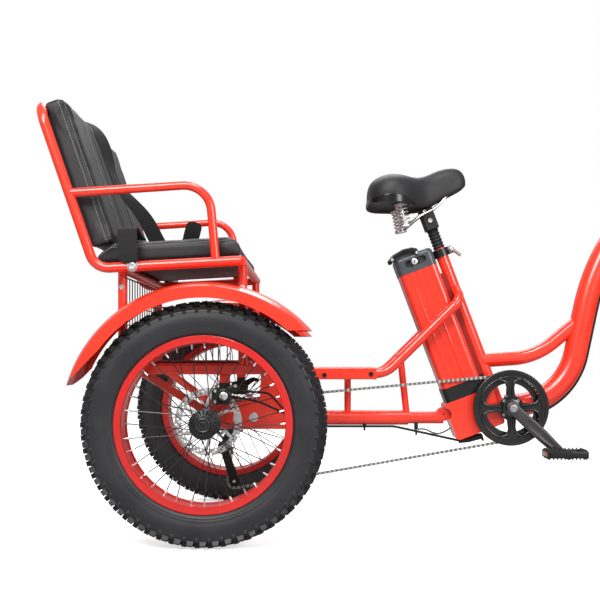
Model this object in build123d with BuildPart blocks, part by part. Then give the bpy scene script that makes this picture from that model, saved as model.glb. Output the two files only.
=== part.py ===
from build123d import *
import os
from math import atan2, cos, degrees, hypot, pi, radians, sin, tan

os.makedirs("parts", exist_ok=True)

# Electric cargo and passenger tricycle. Millimetres; +X forward, +Y left, +Z up, floor at Z = 0.
# Places named *_x are measured forward from the rear axle, and put into the row by at().

# Wheels
tyre_radius = 300.0
tyre_width = 100.0
tread_half = 40.0
lug_count = 30
lug_height = 8.0
lug_fill = 0.56
lug_row_gap = 5.0
shoulder_drop = 6.0
sidewall_rise = 36.0
bead_depth = 10.0
bead_gap = 0.4
rim_radius = 216.0
rim_width = 82.0
rim_wall = 3.0
rim_depth = 24.0
rim_step = 7.0
track = 720.0
wheelbase = 1410.0
axle_z = tyre_radius
spoke_count = 36
spoke_size = 2.6
spoke_gap = 0.6
spoke_seat = 4.0
spoke_rim_half = 16.0
spoke_cross_deg = 34.0
flange_thick = 6.0
rear_flange_radius = 36.0
rear_flange_half = 30.0
rotor_radius = 85.0
rotor_thick = 2.4
pad_inset = 11.9
caliper_deg = 62.0
front_caliper_deg = 150.0
axle_radius = 10.0
run_fit = 0.06
hub_half = 38.0
hub_core_radius = 20.0
rotor_inset = 72.0

# Seat frame
seat_tube_r = 12.5
rail_half = 324.0
rail_front_x = 86.0
rail_front_z = 703.0
rail_rear_x = -277.0
rail_rear_z = 683.0
back_top_x = -420.0
back_top_z = 1097.0
back_bend = 48.0
top_bend = 60.0
arm_r = 11.0
arm_rear_z = 871.0
arm_corner_x = 6.0
arm_corner_z = 894.0
arm_foot_x = 23.0
arm_bend = 68.0

beam_round = 0.12

# Row placing: the middle of the whole length is at X = 0
rear_reach = seat_tube_r - back_top_x
front_reach = wheelbase + tyre_radius
rear_x = (rear_reach - front_reach) / 2

# Frame
bb_x = 812.0
bb_z = 322.0
bb_shell_r = 21.0
bb_shell_half = 42.0
bb_wall = 6.0
main_r = 32.0
main_corner_x = 979.0
main_corner_z = 337.0
main_upper_x = 1060.0
main_upper_z = 720.0
main_low_bend = 187.0
main_high_bend = 600.0
step_r = 19.5
step_start_z = 452.0
step_corner_x = 895.0
step_corner_z = 462.0
step_end_x = 1027.0
step_end_z = 572.0
step_bend = 200.0
seat_tube_radius = 17.0
seat_tube_lean = 20.7
seat_tube_back = 20.0
seat_tube_length = 478.0

# Steering
head_angle = 70.0
fork_offset = 40.0
fork_length = 470.0
head_tube_length = 190.0
head_tube_r = 26.0
head_bore_r = 16.5
head_cup_wall = 3.0
head_cup_height = 12.0
steerer_r = 14.3
main_joint_up = 148.0
headset_gap = 1.0
leg_half = 80.0
leg_r = 20.0
stanchion_r = 15.0
crown_height = 34.0
crown_gap = 6.0
leg_drop = 28.0
lower_leg_top = 300.0
stem_height = 62.0
stem_reach = 124.0
bar_r = 11.1
bar_centre_half = 46.0
bar_rise_half = 150.0
bar_half = 340.0
bar_rise = 92.0
bar_end_rise = 118.0
bar_sweep_lean = 17.0
grip_r = 16.0
grip_length = 128.0
motor_radius = 84.0
motor_half = 50.0

# Battery and controller, in a frame along the seat tube: up the tube and back from it
battery_back = 82.0
battery_depth = 110.0
battery_half = 45.0
battery_low = 104.0
battery_length = 337.0
case_round = 16.0
rib_count = 4
rib_pitch = 21.0
rib_width = 5.0
rib_depth = 1.6
cap_length = 50.0
cap_over = 1.0
cap_round = 13.0
grip_recess = 12.0
grip_recess_long = 62.0
grip_recess_tall = 20.0
handle_outline = (
    # back from the tube, up along it
    (132, 484),
    (132, 499),
    (122, 504),
    (100, 506),
    (80, 503),
    (68, 497),
    (66, 484),
)
base_length = 40.0
dock_gap = 0.3
dock_rail_half = 20.0
dock_half = 43.0
box_low = -44.0
box_front = 6.0
box_rear = 148.0
box_half = 43.0

# Stays and lower tube
stay_r = 13.0
stay_half = 66.0
stay_top_up = 357.0
stay_bend_x = 466.0
stay_z = 417.0
stay_bar_height = 32.0
stay_bar_width = 25.0
stay_bar_front_x = 440.0
lower_z = 291.0
lower_rear_r = 21.0
lower_front_r = 17.5
lower_step_x = 534.0
lug_x = 633.0
lug_z = 301.0
lug_r = 13.0
lug_half = 16.0
lug_hole_r = 2.5
lug_hole_depth = 14.0
strut_r = 9.5

# Rear subframe and seat posts
sub_tube = 25.0
sub_rail_half = 272.0
sub_rail_z = 432.0
sub_rear_x = -210.0
sub_front_x = 150.0
plate_half = 118.0
plate_thick = 8.0
plate_front_x = 196.0
plate_low_z = 268.0
plate_high_z = 346.0
plate_boss_r = 34.0
plate_bore_r = 10.3
plate_hole_r = 13.0
brace_r = 11.0
post_r = 11.5
cross_r = 12.0
post_rear_x = -219.0
post_front_x = 86.0

# Fenders
fender_inner_half = 296.0
fender_outer_half = 425.0
fender_edge_r = 333.0
fender_crown_r = 347.0
fender_skirt_r = 305.0
fender_thick = 2.5
fender_front_deg = 40.0
fender_rear_deg = 164.0
fender_front_low = 227.0
fender_tip_deg = 160.4
fender_notch_deg = 143.5

# Cushions and saddle
cushion_half = 309.0
cushion_rear_x = -276.0
cushion_front_x = 94.0
cushion_thick = 54.0
cushion_taper = 44.0
cushion_tail = 14.0
back_set = 4.0
back_thick = 60.5
back_low = 44.0
back_over = 12.0
back_corner = 8.0
cushion_corner = 24.0
cushion_edge = 15.0
saddle_rear_x = 418.0
saddle_nose_x = 696.0
saddle_half = 118.0
bellows_r = 17.0
bellows_groove = 3.0
bellows_folds = 6
bellows_length = 58.0
post_head_length = 66.0
post_head_deep = 38.0
post_head_wide = 46.0

# Drive
crank_length = 172.0
crank_deg = -43.0
chain_y = -50.0
chain_half = 3.2
chain_tall = 4.2
ring_pitch_r = 90.0
guard_r = 105.0
guard_hub_r = 34.0
guard_arm_half = 10.0
guard_bead = 3.0
sprocket_pitch_r = 37.0
jockey_r = 20.0
jockey_high_x = 18.0
jockey_high_z = 208.0
jockey_low_x = 46.0
jockey_low_z = 118.0
cage_half = 8.0
cage_wide = 22.0
cage_thick = 2.5
crank_y = 92.0
crank_boss_r = 19.0
crank_tip_r = 14.0
crank_edge = 3.0
pedal_y = 152.0
pedal_length = 108.0
pedal_width = 78.0
pedal_thick = 26.0
pedal_corner = 12.0
pedal_bar = 11.0


def at(x, y, z):
    """A point given forward from the rear axle."""
    return Vector(rear_x + x, y, z)


lean = radians(seat_tube_lean)
tube_up = Vector(-sin(lean), 0, cos(lean))
tube_back = Vector(-cos(lean), 0, -sin(lean))
tube_base = at(bb_x - seat_tube_back, 0, bb_z)
tube_plane = Plane(origin=tube_base, x_dir=tube_back, z_dir=(0, 1, 0))

head = radians(head_angle)
steer_up = Vector(-cos(head), 0, sin(head))
steer_fore = Vector(sin(head), 0, cos(head))
front_axle = at(wheelbase, 0, axle_z)
steer_base = front_axle - steer_fore * fork_offset

seat_slope = degrees(atan2(rail_front_z - rail_rear_z, rail_front_x - rail_rear_x))
seat_plane = Plane(at(rail_front_x, 0, rail_front_z)).rotated((0, -seat_slope, 0))
back_lean = degrees(atan2(rail_rear_x - back_top_x, back_top_z - rail_rear_z))
back_plane = Plane(at(rail_rear_x, 0, rail_rear_z)).rotated((0, -back_lean, 0))
back_length = hypot(rail_rear_x - back_top_x, back_top_z - rail_rear_z)


def save(shape, name):
    """Label one finished piece and write it."""
    shape.label = name
    export_step(shape, "parts/" + name + ".step")


def rod(start, end, radius):
    """A straight round bar."""
    with BuildPart() as bar:
        with BuildSketch(Plane(origin=start, z_dir=end - start)):
            Circle(radius)
        extrude(amount=(end - start).length)
    return bar.part


def beam(start, end, wide, tall):
    """A straight square bar, wide across Y for bars along X and along X for upright ones."""
    run = (end - start).normalized()
    side = Vector(0, 1, 0) if abs(run.Y) < 0.5 else Vector(1, 0, 0)
    with BuildPart() as bar:
        with BuildSketch(Plane(origin=start, x_dir=side, z_dir=run)):
            RectangleRounded(wide, tall, min(wide, tall) * beam_round)
        extrude(amount=(end - start).length)
    return bar.part


def bent_tube(points, radius, bends):
    """A round tube along straight runs joined by arcs."""
    with BuildPart() as tube:
        with BuildLine() as route:
            FilletPolyline(*points, radius=bends)
        with BuildSketch(Plane(origin=route.wire() @ 0, z_dir=route.wire() % 0)):
            Circle(radius)
        sweep(path=route.wire())
    return tube.part


def disc(x, z, y_low, y_high, radius, bore=0.0):
    """A round plate about a line along Y."""
    with BuildPart() as plate:
        with BuildSketch(Plane(at(x, y_low, z), x_dir=(1, 0, 0), z_dir=(0, 1, 0))):
            Circle(radius)
            if bore:
                Circle(bore, mode=Mode.SUBTRACT)
        extrude(amount=y_high - y_low)
    return plate.part


def both_sides(shape):
    """A piece and its mirror image in the middle plane."""
    return [shape, mirror(shape, about=Plane.XZ)]


def fused(*shapes):
    """Touching pieces made one."""
    with BuildPart() as whole:
        for shape in shapes:
            add(shape)
    return whole.part


def cut(shape, *tools):
    """A piece without what its neighbours fill."""
    with BuildPart() as rest:
        add(shape)
        for tool in tools:
            add(tool, mode=Mode.SUBTRACT)
    return rest.part


# Frame tubes
head_low = steer_base + steer_up * fork_length
head_high = head_low + steer_up * head_tube_length
with BuildPart() as head_tube:
    with BuildSketch(Plane(origin=head_low, z_dir=steer_up)):
        Circle(head_tube_r)
        Circle(head_bore_r, mode=Mode.SUBTRACT)
    extrude(amount=head_tube_length)
    for cup_up in (0.0, head_tube_length - head_cup_height):
        with BuildSketch(Plane(origin=head_low + steer_up * cup_up, z_dir=steer_up)):
            Circle(head_tube_r + head_cup_wall)
            Circle(head_bore_r, mode=Mode.SUBTRACT)
        extrude(amount=head_cup_height)
save(head_tube.part, "head_tube")
head_solid = rod(head_low, head_high, head_tube_r)

bb_centre = at(bb_x, 0, bb_z)
with BuildPart() as bottom_bracket:
    with BuildSketch(Plane(at(bb_x, -bb_shell_half, bb_z), x_dir=(1, 0, 0), z_dir=(0, 1, 0))):
        Circle(bb_shell_r)
        Circle(bb_shell_r - bb_wall, mode=Mode.SUBTRACT)
    extrude(amount=2 * bb_shell_half)
save(bottom_bracket.part, "bottom_bracket")
bb_solid = disc(bb_x, bb_z, -bb_shell_half, bb_shell_half, bb_shell_r)

main_end = head_low + steer_up * main_joint_up
main_route = [
    bb_centre,
    at(main_corner_x, 0, main_corner_z),
    at(main_upper_x, 0, main_upper_z),
    main_end,
]
main_full = bent_tube(main_route, main_r, [main_low_bend, main_high_bend])

seat_top = tube_base + tube_up * seat_tube_length
seat_full = rod(tube_base, seat_top, seat_tube_radius)
seat_tube = cut(seat_full, bb_solid, main_full)
save(seat_tube, "seat_tube")
main_tube = cut(main_full, bb_solid, head_solid)
save(main_tube, "main_tube")

step_start = tube_base + tube_up * ((step_start_z - bb_z) / cos(lean))
step_route = [step_start, at(step_corner_x, 0, step_corner_z), at(step_end_x, 0, step_end_z)]
step_full = bent_tube(step_route, step_r, [step_bend])
step_tube = cut(step_full, seat_full, main_full)
save(step_tube.solids().sort_by(SortBy.VOLUME)[-1], "step_tube")

# Battery, its dock and the controller box, drawn on the plane along the seat tube
case_plane = Plane(origin=tube_base + tube_up * battery_low + tube_back * battery_back,
                   x_dir=tube_back, z_dir=tube_up)
with BuildPart() as battery_case:
    with BuildSketch(case_plane):
        RectangleRounded(battery_depth, 2 * battery_half, case_round)
        for step in range(rib_count):
            spot = (step - (rib_count - 1) / 2) * rib_pitch
            with Locations((spot, -battery_half), (spot, battery_half)):
                Rectangle(rib_width, 2 * rib_depth, mode=Mode.SUBTRACT)
    extrude(amount=battery_length)
save(battery_case.part, "battery_case")

cap_plane = case_plane.offset(battery_length)
with BuildPart() as battery_cap:
    with BuildSketch(cap_plane):
        RectangleRounded(battery_depth + 2 * cap_over, 2 * (battery_half + cap_over), case_round + cap_over)
    extrude(amount=cap_length)
    fillet(battery_cap.faces().sort_by(Axis(tube_base, tube_up))[-1].edges(), cap_round)
    for side in (-1, 1):
        with BuildSketch(Plane(cap_plane.origin + tube_up * (cap_length / 2)
                               + Vector(0, side * (battery_half + cap_over - grip_recess), 0),
                               x_dir=tube_back * -1, z_dir=(0, side, 0))):
            RectangleRounded(grip_recess_long, grip_recess_tall, grip_recess_tall * 0.4)
        extrude(amount=grip_recess + cap_over, mode=Mode.SUBTRACT)
    with BuildSketch(tube_plane):
        Polygon(*handle_outline, align=None)
    extrude(amount=battery_half - 4, both=True)
save(battery_cap.part, "battery_cap")

dock_low = battery_low - base_length
rail_back = (seat_tube_radius + battery_back - battery_depth / 2 - dock_gap) / 2
with BuildPart() as battery_dock:
    with BuildSketch(Plane(origin=tube_base + tube_up * dock_low + tube_back * battery_back,
                           x_dir=tube_back, z_dir=tube_up)):
        RectangleRounded(battery_depth + 4, 2 * dock_half, 14)
    extrude(amount=base_length)
    with BuildSketch(Plane(origin=tube_base + tube_up * dock_low + tube_back * rail_back,
                           x_dir=tube_back, z_dir=tube_up)):
        Rectangle(battery_back - battery_depth / 2 - dock_gap - seat_tube_radius + 8,
                  2 * dock_rail_half)
    extrude(amount=base_length + battery_length - 30)
    add(seat_full, mode=Mode.SUBTRACT)
    add(battery_case.part, mode=Mode.SUBTRACT)
save(battery_dock.part, "battery_dock")

with BuildPart() as controller_box:
    with BuildSketch(tube_plane):
        Polygon(
            (box_front, box_low),
            (box_rear, box_low),
            (box_rear, dock_low),
            (box_front, dock_low),
            align=None,
        )
    extrude(amount=box_half, both=True)
    fillet(controller_box.edges().filter_by(Axis.Y), 9)
    add(seat_full, mode=Mode.SUBTRACT)
    add(bb_solid, mode=Mode.SUBTRACT)
box_solid = controller_box.part

# Lower tube with its lug, and the stays with their struts
lower_rear = at(plate_front_x, 0, lower_z)
lower_step = at(lower_step_x, 0, lower_z)
lower_end = at(lug_x, 0, lower_z)
lug = disc(lug_x, lug_z, -lug_half, lug_half, lug_r + 6)
with BuildPart() as lower_tube:
    add(rod(lower_rear, lower_step, lower_rear_r))
    add(rod(lower_step, lower_end, lower_front_r))
    add(lug)
    with BuildSketch(Plane(at(lug_x, -lug_half, lug_z), x_dir=(1, 0, 0), z_dir=(0, 1, 0))):
        Circle(lug_hole_r)
    extrude(amount=lug_hole_depth, mode=Mode.SUBTRACT)
save(lower_tube.part, "lower_tube")
save(cut(box_solid, lower_tube.part, disc(lug_x, lug_z, -lug_half - 60, -lug_half, lug_r + 6)),
     "controller_box")

stay_top = tube_base + tube_up * stay_top_up
stay_parts = []
for side in (-1, 1):
    inner = stay_top + Vector(0, side * (seat_tube_radius + 3), 0)
    spread = stay_top + tube_up * -34 + tube_back * 4 + Vector(0, side * stay_half, 0)
    bend_point = at(stay_bend_x, side * stay_half, stay_z)
    rear_point = at(sub_front_x, side * stay_half, stay_z)
    stay_parts.append(bent_tube([inner, spread, bend_point, rear_point], stay_r, [40, 70]))
    stay_parts.append(beam(rear_point, at(stay_bar_front_x, side * stay_half, stay_z),
                           stay_bar_width + 2, stay_bar_height))
strut_table = (
    # foot x, head x, head z
    (363.0, 363.0, stay_z),
    (531.0, 512.0, stay_z + 50),
)
for foot_x, head_x, head_z in strut_table:
    stay_parts.append(rod(at(head_x, -stay_half, head_z), at(head_x, stay_half, head_z), strut_r - 1))
    stay_parts.append(rod(at(foot_x, 0, lower_z), at(head_x, 0, head_z), strut_r))
upper_stays = cut(fused(*stay_parts), seat_full, lower_tube.part)
save(upper_stays, "upper_stays")

# Rear subframe: side rails, cross members, axle plates and braces
half_sub = sub_tube / 2
members = []
for side in (-1, 1):
    y = side * sub_rail_half
    members.append(beam(at(sub_rear_x - half_sub, y, sub_rail_z), at(sub_front_x, y, sub_rail_z),
                        sub_tube, sub_tube))
for x in (sub_rear_x, sub_front_x - half_sub):
    members.append(beam(at(x, -sub_rail_half, sub_rail_z), at(x, sub_rail_half, sub_rail_z),
                        sub_tube, sub_tube))
for side in (-1, 1):
    y = side * plate_half
    with BuildPart() as carrier:
        with BuildSketch(Plane(at(0, y - plate_thick / 2, axle_z), x_dir=(1, 0, 0), z_dir=(0, -1, 0))):
            Circle(plate_boss_r)
            Polygon(
                (0, plate_boss_r),
                (120, plate_high_z - axle_z),
                (sub_front_x - sub_tube, sub_rail_z - axle_z),
                (sub_front_x, sub_rail_z - axle_z),
                (plate_front_x, plate_high_z - axle_z),
                (plate_front_x, plate_low_z - axle_z),
                (40, plate_low_z - axle_z),
                (0, -plate_boss_r),
                align=None,
            )
            with Locations((60, -3), (104, 0)):
                Circle(plate_hole_r, mode=Mode.SUBTRACT)
            Circle(plate_bore_r, mode=Mode.SUBTRACT)
        extrude(amount=-plate_thick)
    members.append(carrier.part)
    boss = disc(0, axle_z, min(y, y + side * 22), max(y, y + side * 22), plate_boss_r - 8, plate_bore_r)
    members.append(boss)
    brace_end = Vector(plate_boss_r * -0.7, 0, plate_boss_r * 0.45) + at(0, y, axle_z)
    members.append(rod(at(sub_rear_x + 12, side * sub_rail_half * 0.72, sub_rail_z), brace_end, brace_r))
cross = rod(at(plate_front_x - 20, -plate_half, lower_z), at(plate_front_x - 20, plate_half, lower_z),
            lower_rear_r)
members.append(cross)
bore_clear = disc(0, axle_z, -plate_half - 60, plate_half + 60, plate_bore_r)
rear_subframe = cut(fused(*members), lower_tube.part, bore_clear, upper_stays)
save(rear_subframe, "rear_subframe")

# Seat posts with their cross rails, then the bent seat frame with its armrests
post_low = sub_rail_z + half_sub
rear_cross_z = rail_rear_z + (post_rear_x - rail_rear_x) * tan(radians(seat_slope))
front_cross_z = rail_front_z
posts = []
for x, z in ((post_rear_x, rear_cross_z), (post_front_x, front_cross_z)):
    posts.append(rod(at(x, -rail_half, z), at(x, rail_half, z), cross_r))
    for side in (-1, 1):
        posts.append(rod(at(x, side * sub_rail_half, post_low), at(x, side * sub_rail_half, z), post_r))
seat_posts = fused(*posts)

loop_points = [
    at(rail_front_x + 1, -rail_half, rail_front_z),
    at(rail_rear_x, -rail_half, rail_rear_z),
    at(back_top_x, -rail_half, back_top_z),
    at(back_top_x, rail_half, back_top_z),
    at(rail_rear_x, rail_half, rail_rear_z),
    at(rail_front_x + 1, rail_half, rail_front_z),
]
seat_loop = bent_tube(loop_points, seat_tube_r, [back_bend, top_bend, top_bend, back_bend])
arm_rear_x = rail_rear_x - (arm_rear_z - rail_rear_z) * tan(radians(back_lean))
arms = []
for side in (-1, 1):
    arms.append(bent_tube(
        [
            at(arm_rear_x, side * rail_half, arm_rear_z),
            at(arm_corner_x, side * rail_half, arm_corner_z),
            at(arm_foot_x, side * rail_half, rail_front_z - 4),
        ],
        arm_r,
        [arm_bend],
    ))
seat_frame = fused(seat_loop, *arms)
save(seat_frame, "seat_frame")

save(cut(seat_posts, seat_frame), "seat_posts")

# Cargo basket: a comb of upright wires for each wall and a floor, with a low lip at the loading side
wire = 4.0
seat_gap = 0.3
basket_low = sub_rail_z + half_sub
basket_high = rear_cross_z - cross_r
basket_half = sub_rail_half - half_sub - 6
basket_rear_x = post_rear_x
basket_front_x = post_front_x
basket_lip = 46.0
basket_side = 592.0
walls = []
wall_table = (
    # along, place, low end, high end, top, wires
    ("y", basket_rear_x, -basket_half, basket_half, basket_high, 15),
    ("y", basket_front_x, -basket_half, basket_half, basket_low + basket_lip, 15),
    ("x", -basket_half, basket_rear_x + wire + seat_gap, basket_front_x - wire - seat_gap, basket_side, 9),
    ("x", basket_half, basket_rear_x + wire + seat_gap, basket_front_x - wire - seat_gap, basket_side, 9),
)
for along, place, low, high, top, wires in wall_table:
    turn = (0, 1, 0) if along == "x" else (1, 0, 0)
    across = (1, 0, 0) if along == "x" else (0, 1, 0)
    origin = at(0, place, 0) if along == "x" else at(place, 0, 0)
    with BuildPart() as wall:
        with BuildSketch(Plane(origin=origin, x_dir=across, z_dir=Vector(*across).cross(Vector(0, 0, 1)))):
            for step in range(wires):
                spot = low + (high - low) * step / (wires - 1)
                with Locations((spot, (basket_low + top) / 2)):
                    Rectangle(wire, top - basket_low)
            for spot in (basket_low + wire / 2, (basket_low + top) / 2, top - wire / 2):
                with Locations(((low + high) / 2, spot)):
                    Rectangle(high - low, wire)
        extrude(amount=wire / 2, both=True)
    walls.append(wall.part)
with BuildPart() as basket_floor:
    with BuildSketch(Plane(at(0, 0, basket_low + wire / 2))):
        for step in range(15):
            spot = (basket_half - 8) * (step / 7 - 1)
            with Locations(((basket_rear_x + basket_front_x) / 2, spot)):
                Rectangle(basket_front_x - basket_rear_x - wire - 2 * seat_gap, wire)
        for spot in (basket_rear_x + 8, (basket_rear_x + basket_front_x) / 2, basket_front_x - 8):
            with Locations((spot, 0)):
                Rectangle(wire, 2 * basket_half - wire - 2 * seat_gap)
    extrude(amount=wire / 2, both=True)
walls.append(basket_floor.part)
save(Compound(children=[cut(wall, seat_posts) for wall in walls]), "cargo_basket")

# Fenders: a crowned channel round each rear wheel, with tabs to the posts
with BuildPart() as fender:
    with BuildSketch(Plane(at(0, 0, axle_z), x_dir=(0, 1, 0), z_dir=(1, 0, 0))):
        with BuildLine():
            outer = ThreePointArc((-fender_outer_half, fender_edge_r),
                                  (-(fender_outer_half + fender_inner_half) / 2, fender_crown_r),
                                  (-fender_inner_half, fender_edge_r))
            Polyline((-fender_inner_half, fender_edge_r),
                     (-fender_inner_half, fender_edge_r - 12),
                     (-fender_inner_half - fender_thick, fender_edge_r - 12),
                     (-fender_inner_half - fender_thick, fender_edge_r - 2))
            ThreePointArc((-fender_inner_half - fender_thick, fender_edge_r - 2),
                          (-(fender_outer_half + fender_inner_half) / 2, fender_crown_r - fender_thick),
                          (-fender_outer_half + fender_thick, fender_edge_r - 2))
            Polyline((-fender_outer_half + fender_thick, fender_edge_r - 2),
                     (-fender_outer_half + fender_thick, fender_skirt_r),
                     (-fender_outer_half, fender_skirt_r),
                     (-fender_outer_half, fender_edge_r))
        make_face()
    revolve(axis=Axis(at(0, 0, axle_z), (0, -1, 0)), revolution_arc=fender_rear_deg - fender_front_deg)
fender_full = fender.part.rotate(Axis(at(0, 0, axle_z), (0, -1, 0)), -(90 - fender_front_deg))
tip_turn = radians(fender_tip_deg)
notch_turn = radians(fender_notch_deg)
tip = Vector(cos(tip_turn), sin(tip_turn)) * fender_edge_r
notch = Vector(cos(notch_turn), sin(notch_turn)) * fender_skirt_r
slant = notch - tip
inward = Vector(slant.Y, -slant.X)
with BuildPart() as end_cuts:
    with BuildSketch(Plane(at(0, 0, axle_z), x_dir=(1, 0, 0), z_dir=(0, -1, 0))):
        with Locations((fender_crown_r, fender_front_low - fender_crown_r)):
            Rectangle(2 * fender_crown_r, 2 * fender_crown_r)
        Polygon(
            *[(spot.X, spot.Y) for spot in (
                tip - slant,
                tip - slant + inward * 2,
                notch + slant + inward * 2,
                notch + slant,
            )],
            align=None,
        )
    extrude(amount=fender_outer_half + tyre_width)
fender_turned = cut(fender_full, end_cuts.part)
tabs = []
for x in (post_front_x, post_rear_x):
    reach = fender_edge_r - 10
    top = axle_z + (reach ** 2 - x ** 2) ** 0.5
    tabs.append(beam(at(x, -sub_rail_half - 6, top), at(x, -fender_inner_half - 6, top), 18, 14))
fender_right = cut(fused(fender_turned, *tabs), seat_posts)
save(fender_right, "rear_fender_right")
save(mirror(fender_right, about=Plane.XZ), "rear_fender_left")

# Cushions: the seat thins to its tail under the back, and the back sits between the tubes of the loop
seat_front = cushion_front_x - rail_front_x
seat_tail = cushion_rear_x - rail_front_x
with BuildPart() as seat_cushion:
    with BuildSketch(Plane(seat_plane.origin + seat_plane.z_dir * seat_tube_r,
                           x_dir=seat_plane.x_dir, z_dir=(0, -1, 0))):
        Polygon(
            (seat_front, 0),
            (seat_front, cushion_thick),
            (seat_tail + cushion_taper, cushion_thick),
            (seat_tail, cushion_tail),
            (seat_tail, 0),
            align=None,
        )
    extrude(amount=cushion_half, both=True)
    fillet(seat_cushion.edges().filter_by(Axis((0, 0, 0), seat_plane.z_dir)).sort_by(Axis.X)[-2:],
           cushion_corner)
    fillet(seat_cushion.faces().sort_by(Axis.Z)[-1].edges(), cushion_edge)
with BuildPart() as back_cushion:
    with BuildSketch(Plane(back_plane.origin + back_plane.x_dir * back_set,
                           x_dir=(0, 1, 0), z_dir=back_plane.x_dir)):
        with Locations((0, (back_low + back_length + back_over) / 2)):
            RectangleRounded(2 * cushion_half, back_length + back_over - back_low, back_corner)
    extrude(amount=back_thick)
    fillet(back_cushion.faces().sort_by(Axis(back_plane.origin, back_plane.x_dir))[-1].edges(), cushion_edge)
save(cut(seat_cushion.part, seat_frame, back_cushion.part), "seat_cushion")
save(cut(back_cushion.part, seat_frame), "back_cushion")

# Saddle: crowned sections from the wide tail to the raised nose, on a sprung post
saddle_table = (
    # share of the length, share of the half width, crown z, side z, skirt z
    (0.00, 0.56, 936.0, 914.0, 888.0),
    (0.08, 0.88, 962.0, 922.0, 884.0),
    (0.24, 1.00, 975.0, 924.0, 890.0),
    (0.40, 0.84, 972.0, 920.0, 882.0),
    (0.54, 0.56, 968.0, 916.0, 876.0),
    (0.70, 0.36, 984.0, 928.0, 892.0),
    (0.86, 0.29, 997.0, 946.0, 918.0),
    (0.96, 0.21, 984.0, 954.0, 934.0),
    (1.00, 0.12, 968.0, 954.0, 944.0),
)
saddle_tuck = 0.86
with BuildPart() as saddle:
    for length_share, half_share, crown_z, side_z, skirt_z in saddle_table:
        half = saddle_half * half_share
        station = at(saddle_rear_x + (saddle_nose_x - saddle_rear_x) * length_share, 0, 0)
        with BuildSketch(Plane(station, x_dir=(0, 1, 0), z_dir=(1, 0, 0))):
            with BuildLine():
                ThreePointArc((-half, side_z), (0, crown_z), (half, side_z))
                Polyline((half, side_z), (half * saddle_tuck, skirt_z), (-half * saddle_tuck, skirt_z),
                         (-half, side_z))
            make_face()
    loft()
save(saddle.part, "saddle")

bellows_top = seat_tube_length + bellows_length
fold = bellows_length / bellows_folds
with BuildPart() as seat_post:
    with BuildSketch(Plane(origin=seat_top, x_dir=tube_back, z_dir=(0, 1, 0))):
        with BuildLine():
            outline = [(0, 0)]
            for step in range(bellows_folds):
                outline.append((bellows_r - bellows_groove, fold * step))
                outline.append((bellows_r, fold * (step + 0.5)))
            outline.append((bellows_r - bellows_groove, bellows_length))
            outline.append((0, bellows_length))
            Polyline(*outline, close=True)
        make_face()
    revolve(axis=Axis(seat_top, tube_up))
    with BuildSketch(Plane(origin=tube_base + tube_up * bellows_top, x_dir=tube_back, z_dir=tube_up)):
        RectangleRounded(post_head_deep, post_head_wide, 6)
    extrude(amount=post_head_length)
    add(saddle.part, mode=Mode.SUBTRACT)
save(seat_post.part.solids().sort_by(SortBy.VOLUME)[-1], "seat_post")

with BuildPart() as seat_clamp:
    with BuildSketch(Plane(origin=seat_top - tube_up * 24, x_dir=tube_back, z_dir=tube_up)):
        Circle(seat_tube_radius + 5)
        Circle(seat_tube_radius, mode=Mode.SUBTRACT)
        with Locations((-seat_tube_radius - 10, 0)):
            Rectangle(14, 16)
    extrude(amount=22)
    add(seat_full, mode=Mode.SUBTRACT)
    add(rod(seat_top - tube_up * 13 - tube_back * 29 + Vector(0, -24, 0),
            seat_top - tube_up * 13 - tube_back * 29 + Vector(0, 20, 0), 5))
    add(rod(seat_top - tube_up * 13 - tube_back * 29 + Vector(0, -21, 0),
            seat_top - tube_up * 40 - tube_back * 46 + Vector(0, -23, 0), 4.5))
save(seat_clamp.part, "seat_clamp")

spring_r = 19.0
spring_wire = 5.0
spring_coils = 6
spring_length = 58.0
spring_lean = 0.28
springs = []
for side in (-1, 1):
    foot = at(saddle_rear_x + 71, side * 62, 852)
    lean_up = Vector(-spring_lean, 0, 1).normalized()
    coil_pitch = spring_length / spring_coils
    with BuildPart() as spring:
        with BuildSketch(Plane(origin=foot, x_dir=(0, 1, 0), z_dir=Vector(0, 1, 0).cross(lean_up))):
            with BuildLine():
                outline = [(0, 0)]
                for step in range(spring_coils):
                    outline.append((spring_r - spring_wire, coil_pitch * step))
                    outline.append((spring_r, coil_pitch * (step + 0.25)))
                    outline.append((spring_r, coil_pitch * (step + 0.65)))
                    outline.append((spring_r - spring_wire, coil_pitch * (step + 0.9)))
                outline.append((spring_r - spring_wire, spring_length))
                outline.append((0, spring_length))
                Polyline(*outline, close=True)
            make_face()
        revolve(axis=Axis(foot, lean_up))
    springs.append(spring.part)
    springs.append(rod(foot + Vector(0, 0, 6), at(saddle_rear_x + 170, side * 22, 866), 4))
    springs.append(rod(at(saddle_rear_x + 170, side * 22, 866), at(saddle_nose_x - 60, side * 14, 944), 4))
save(cut(fused(*springs), saddle.part, seat_post.part), "saddle_springs")

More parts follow.
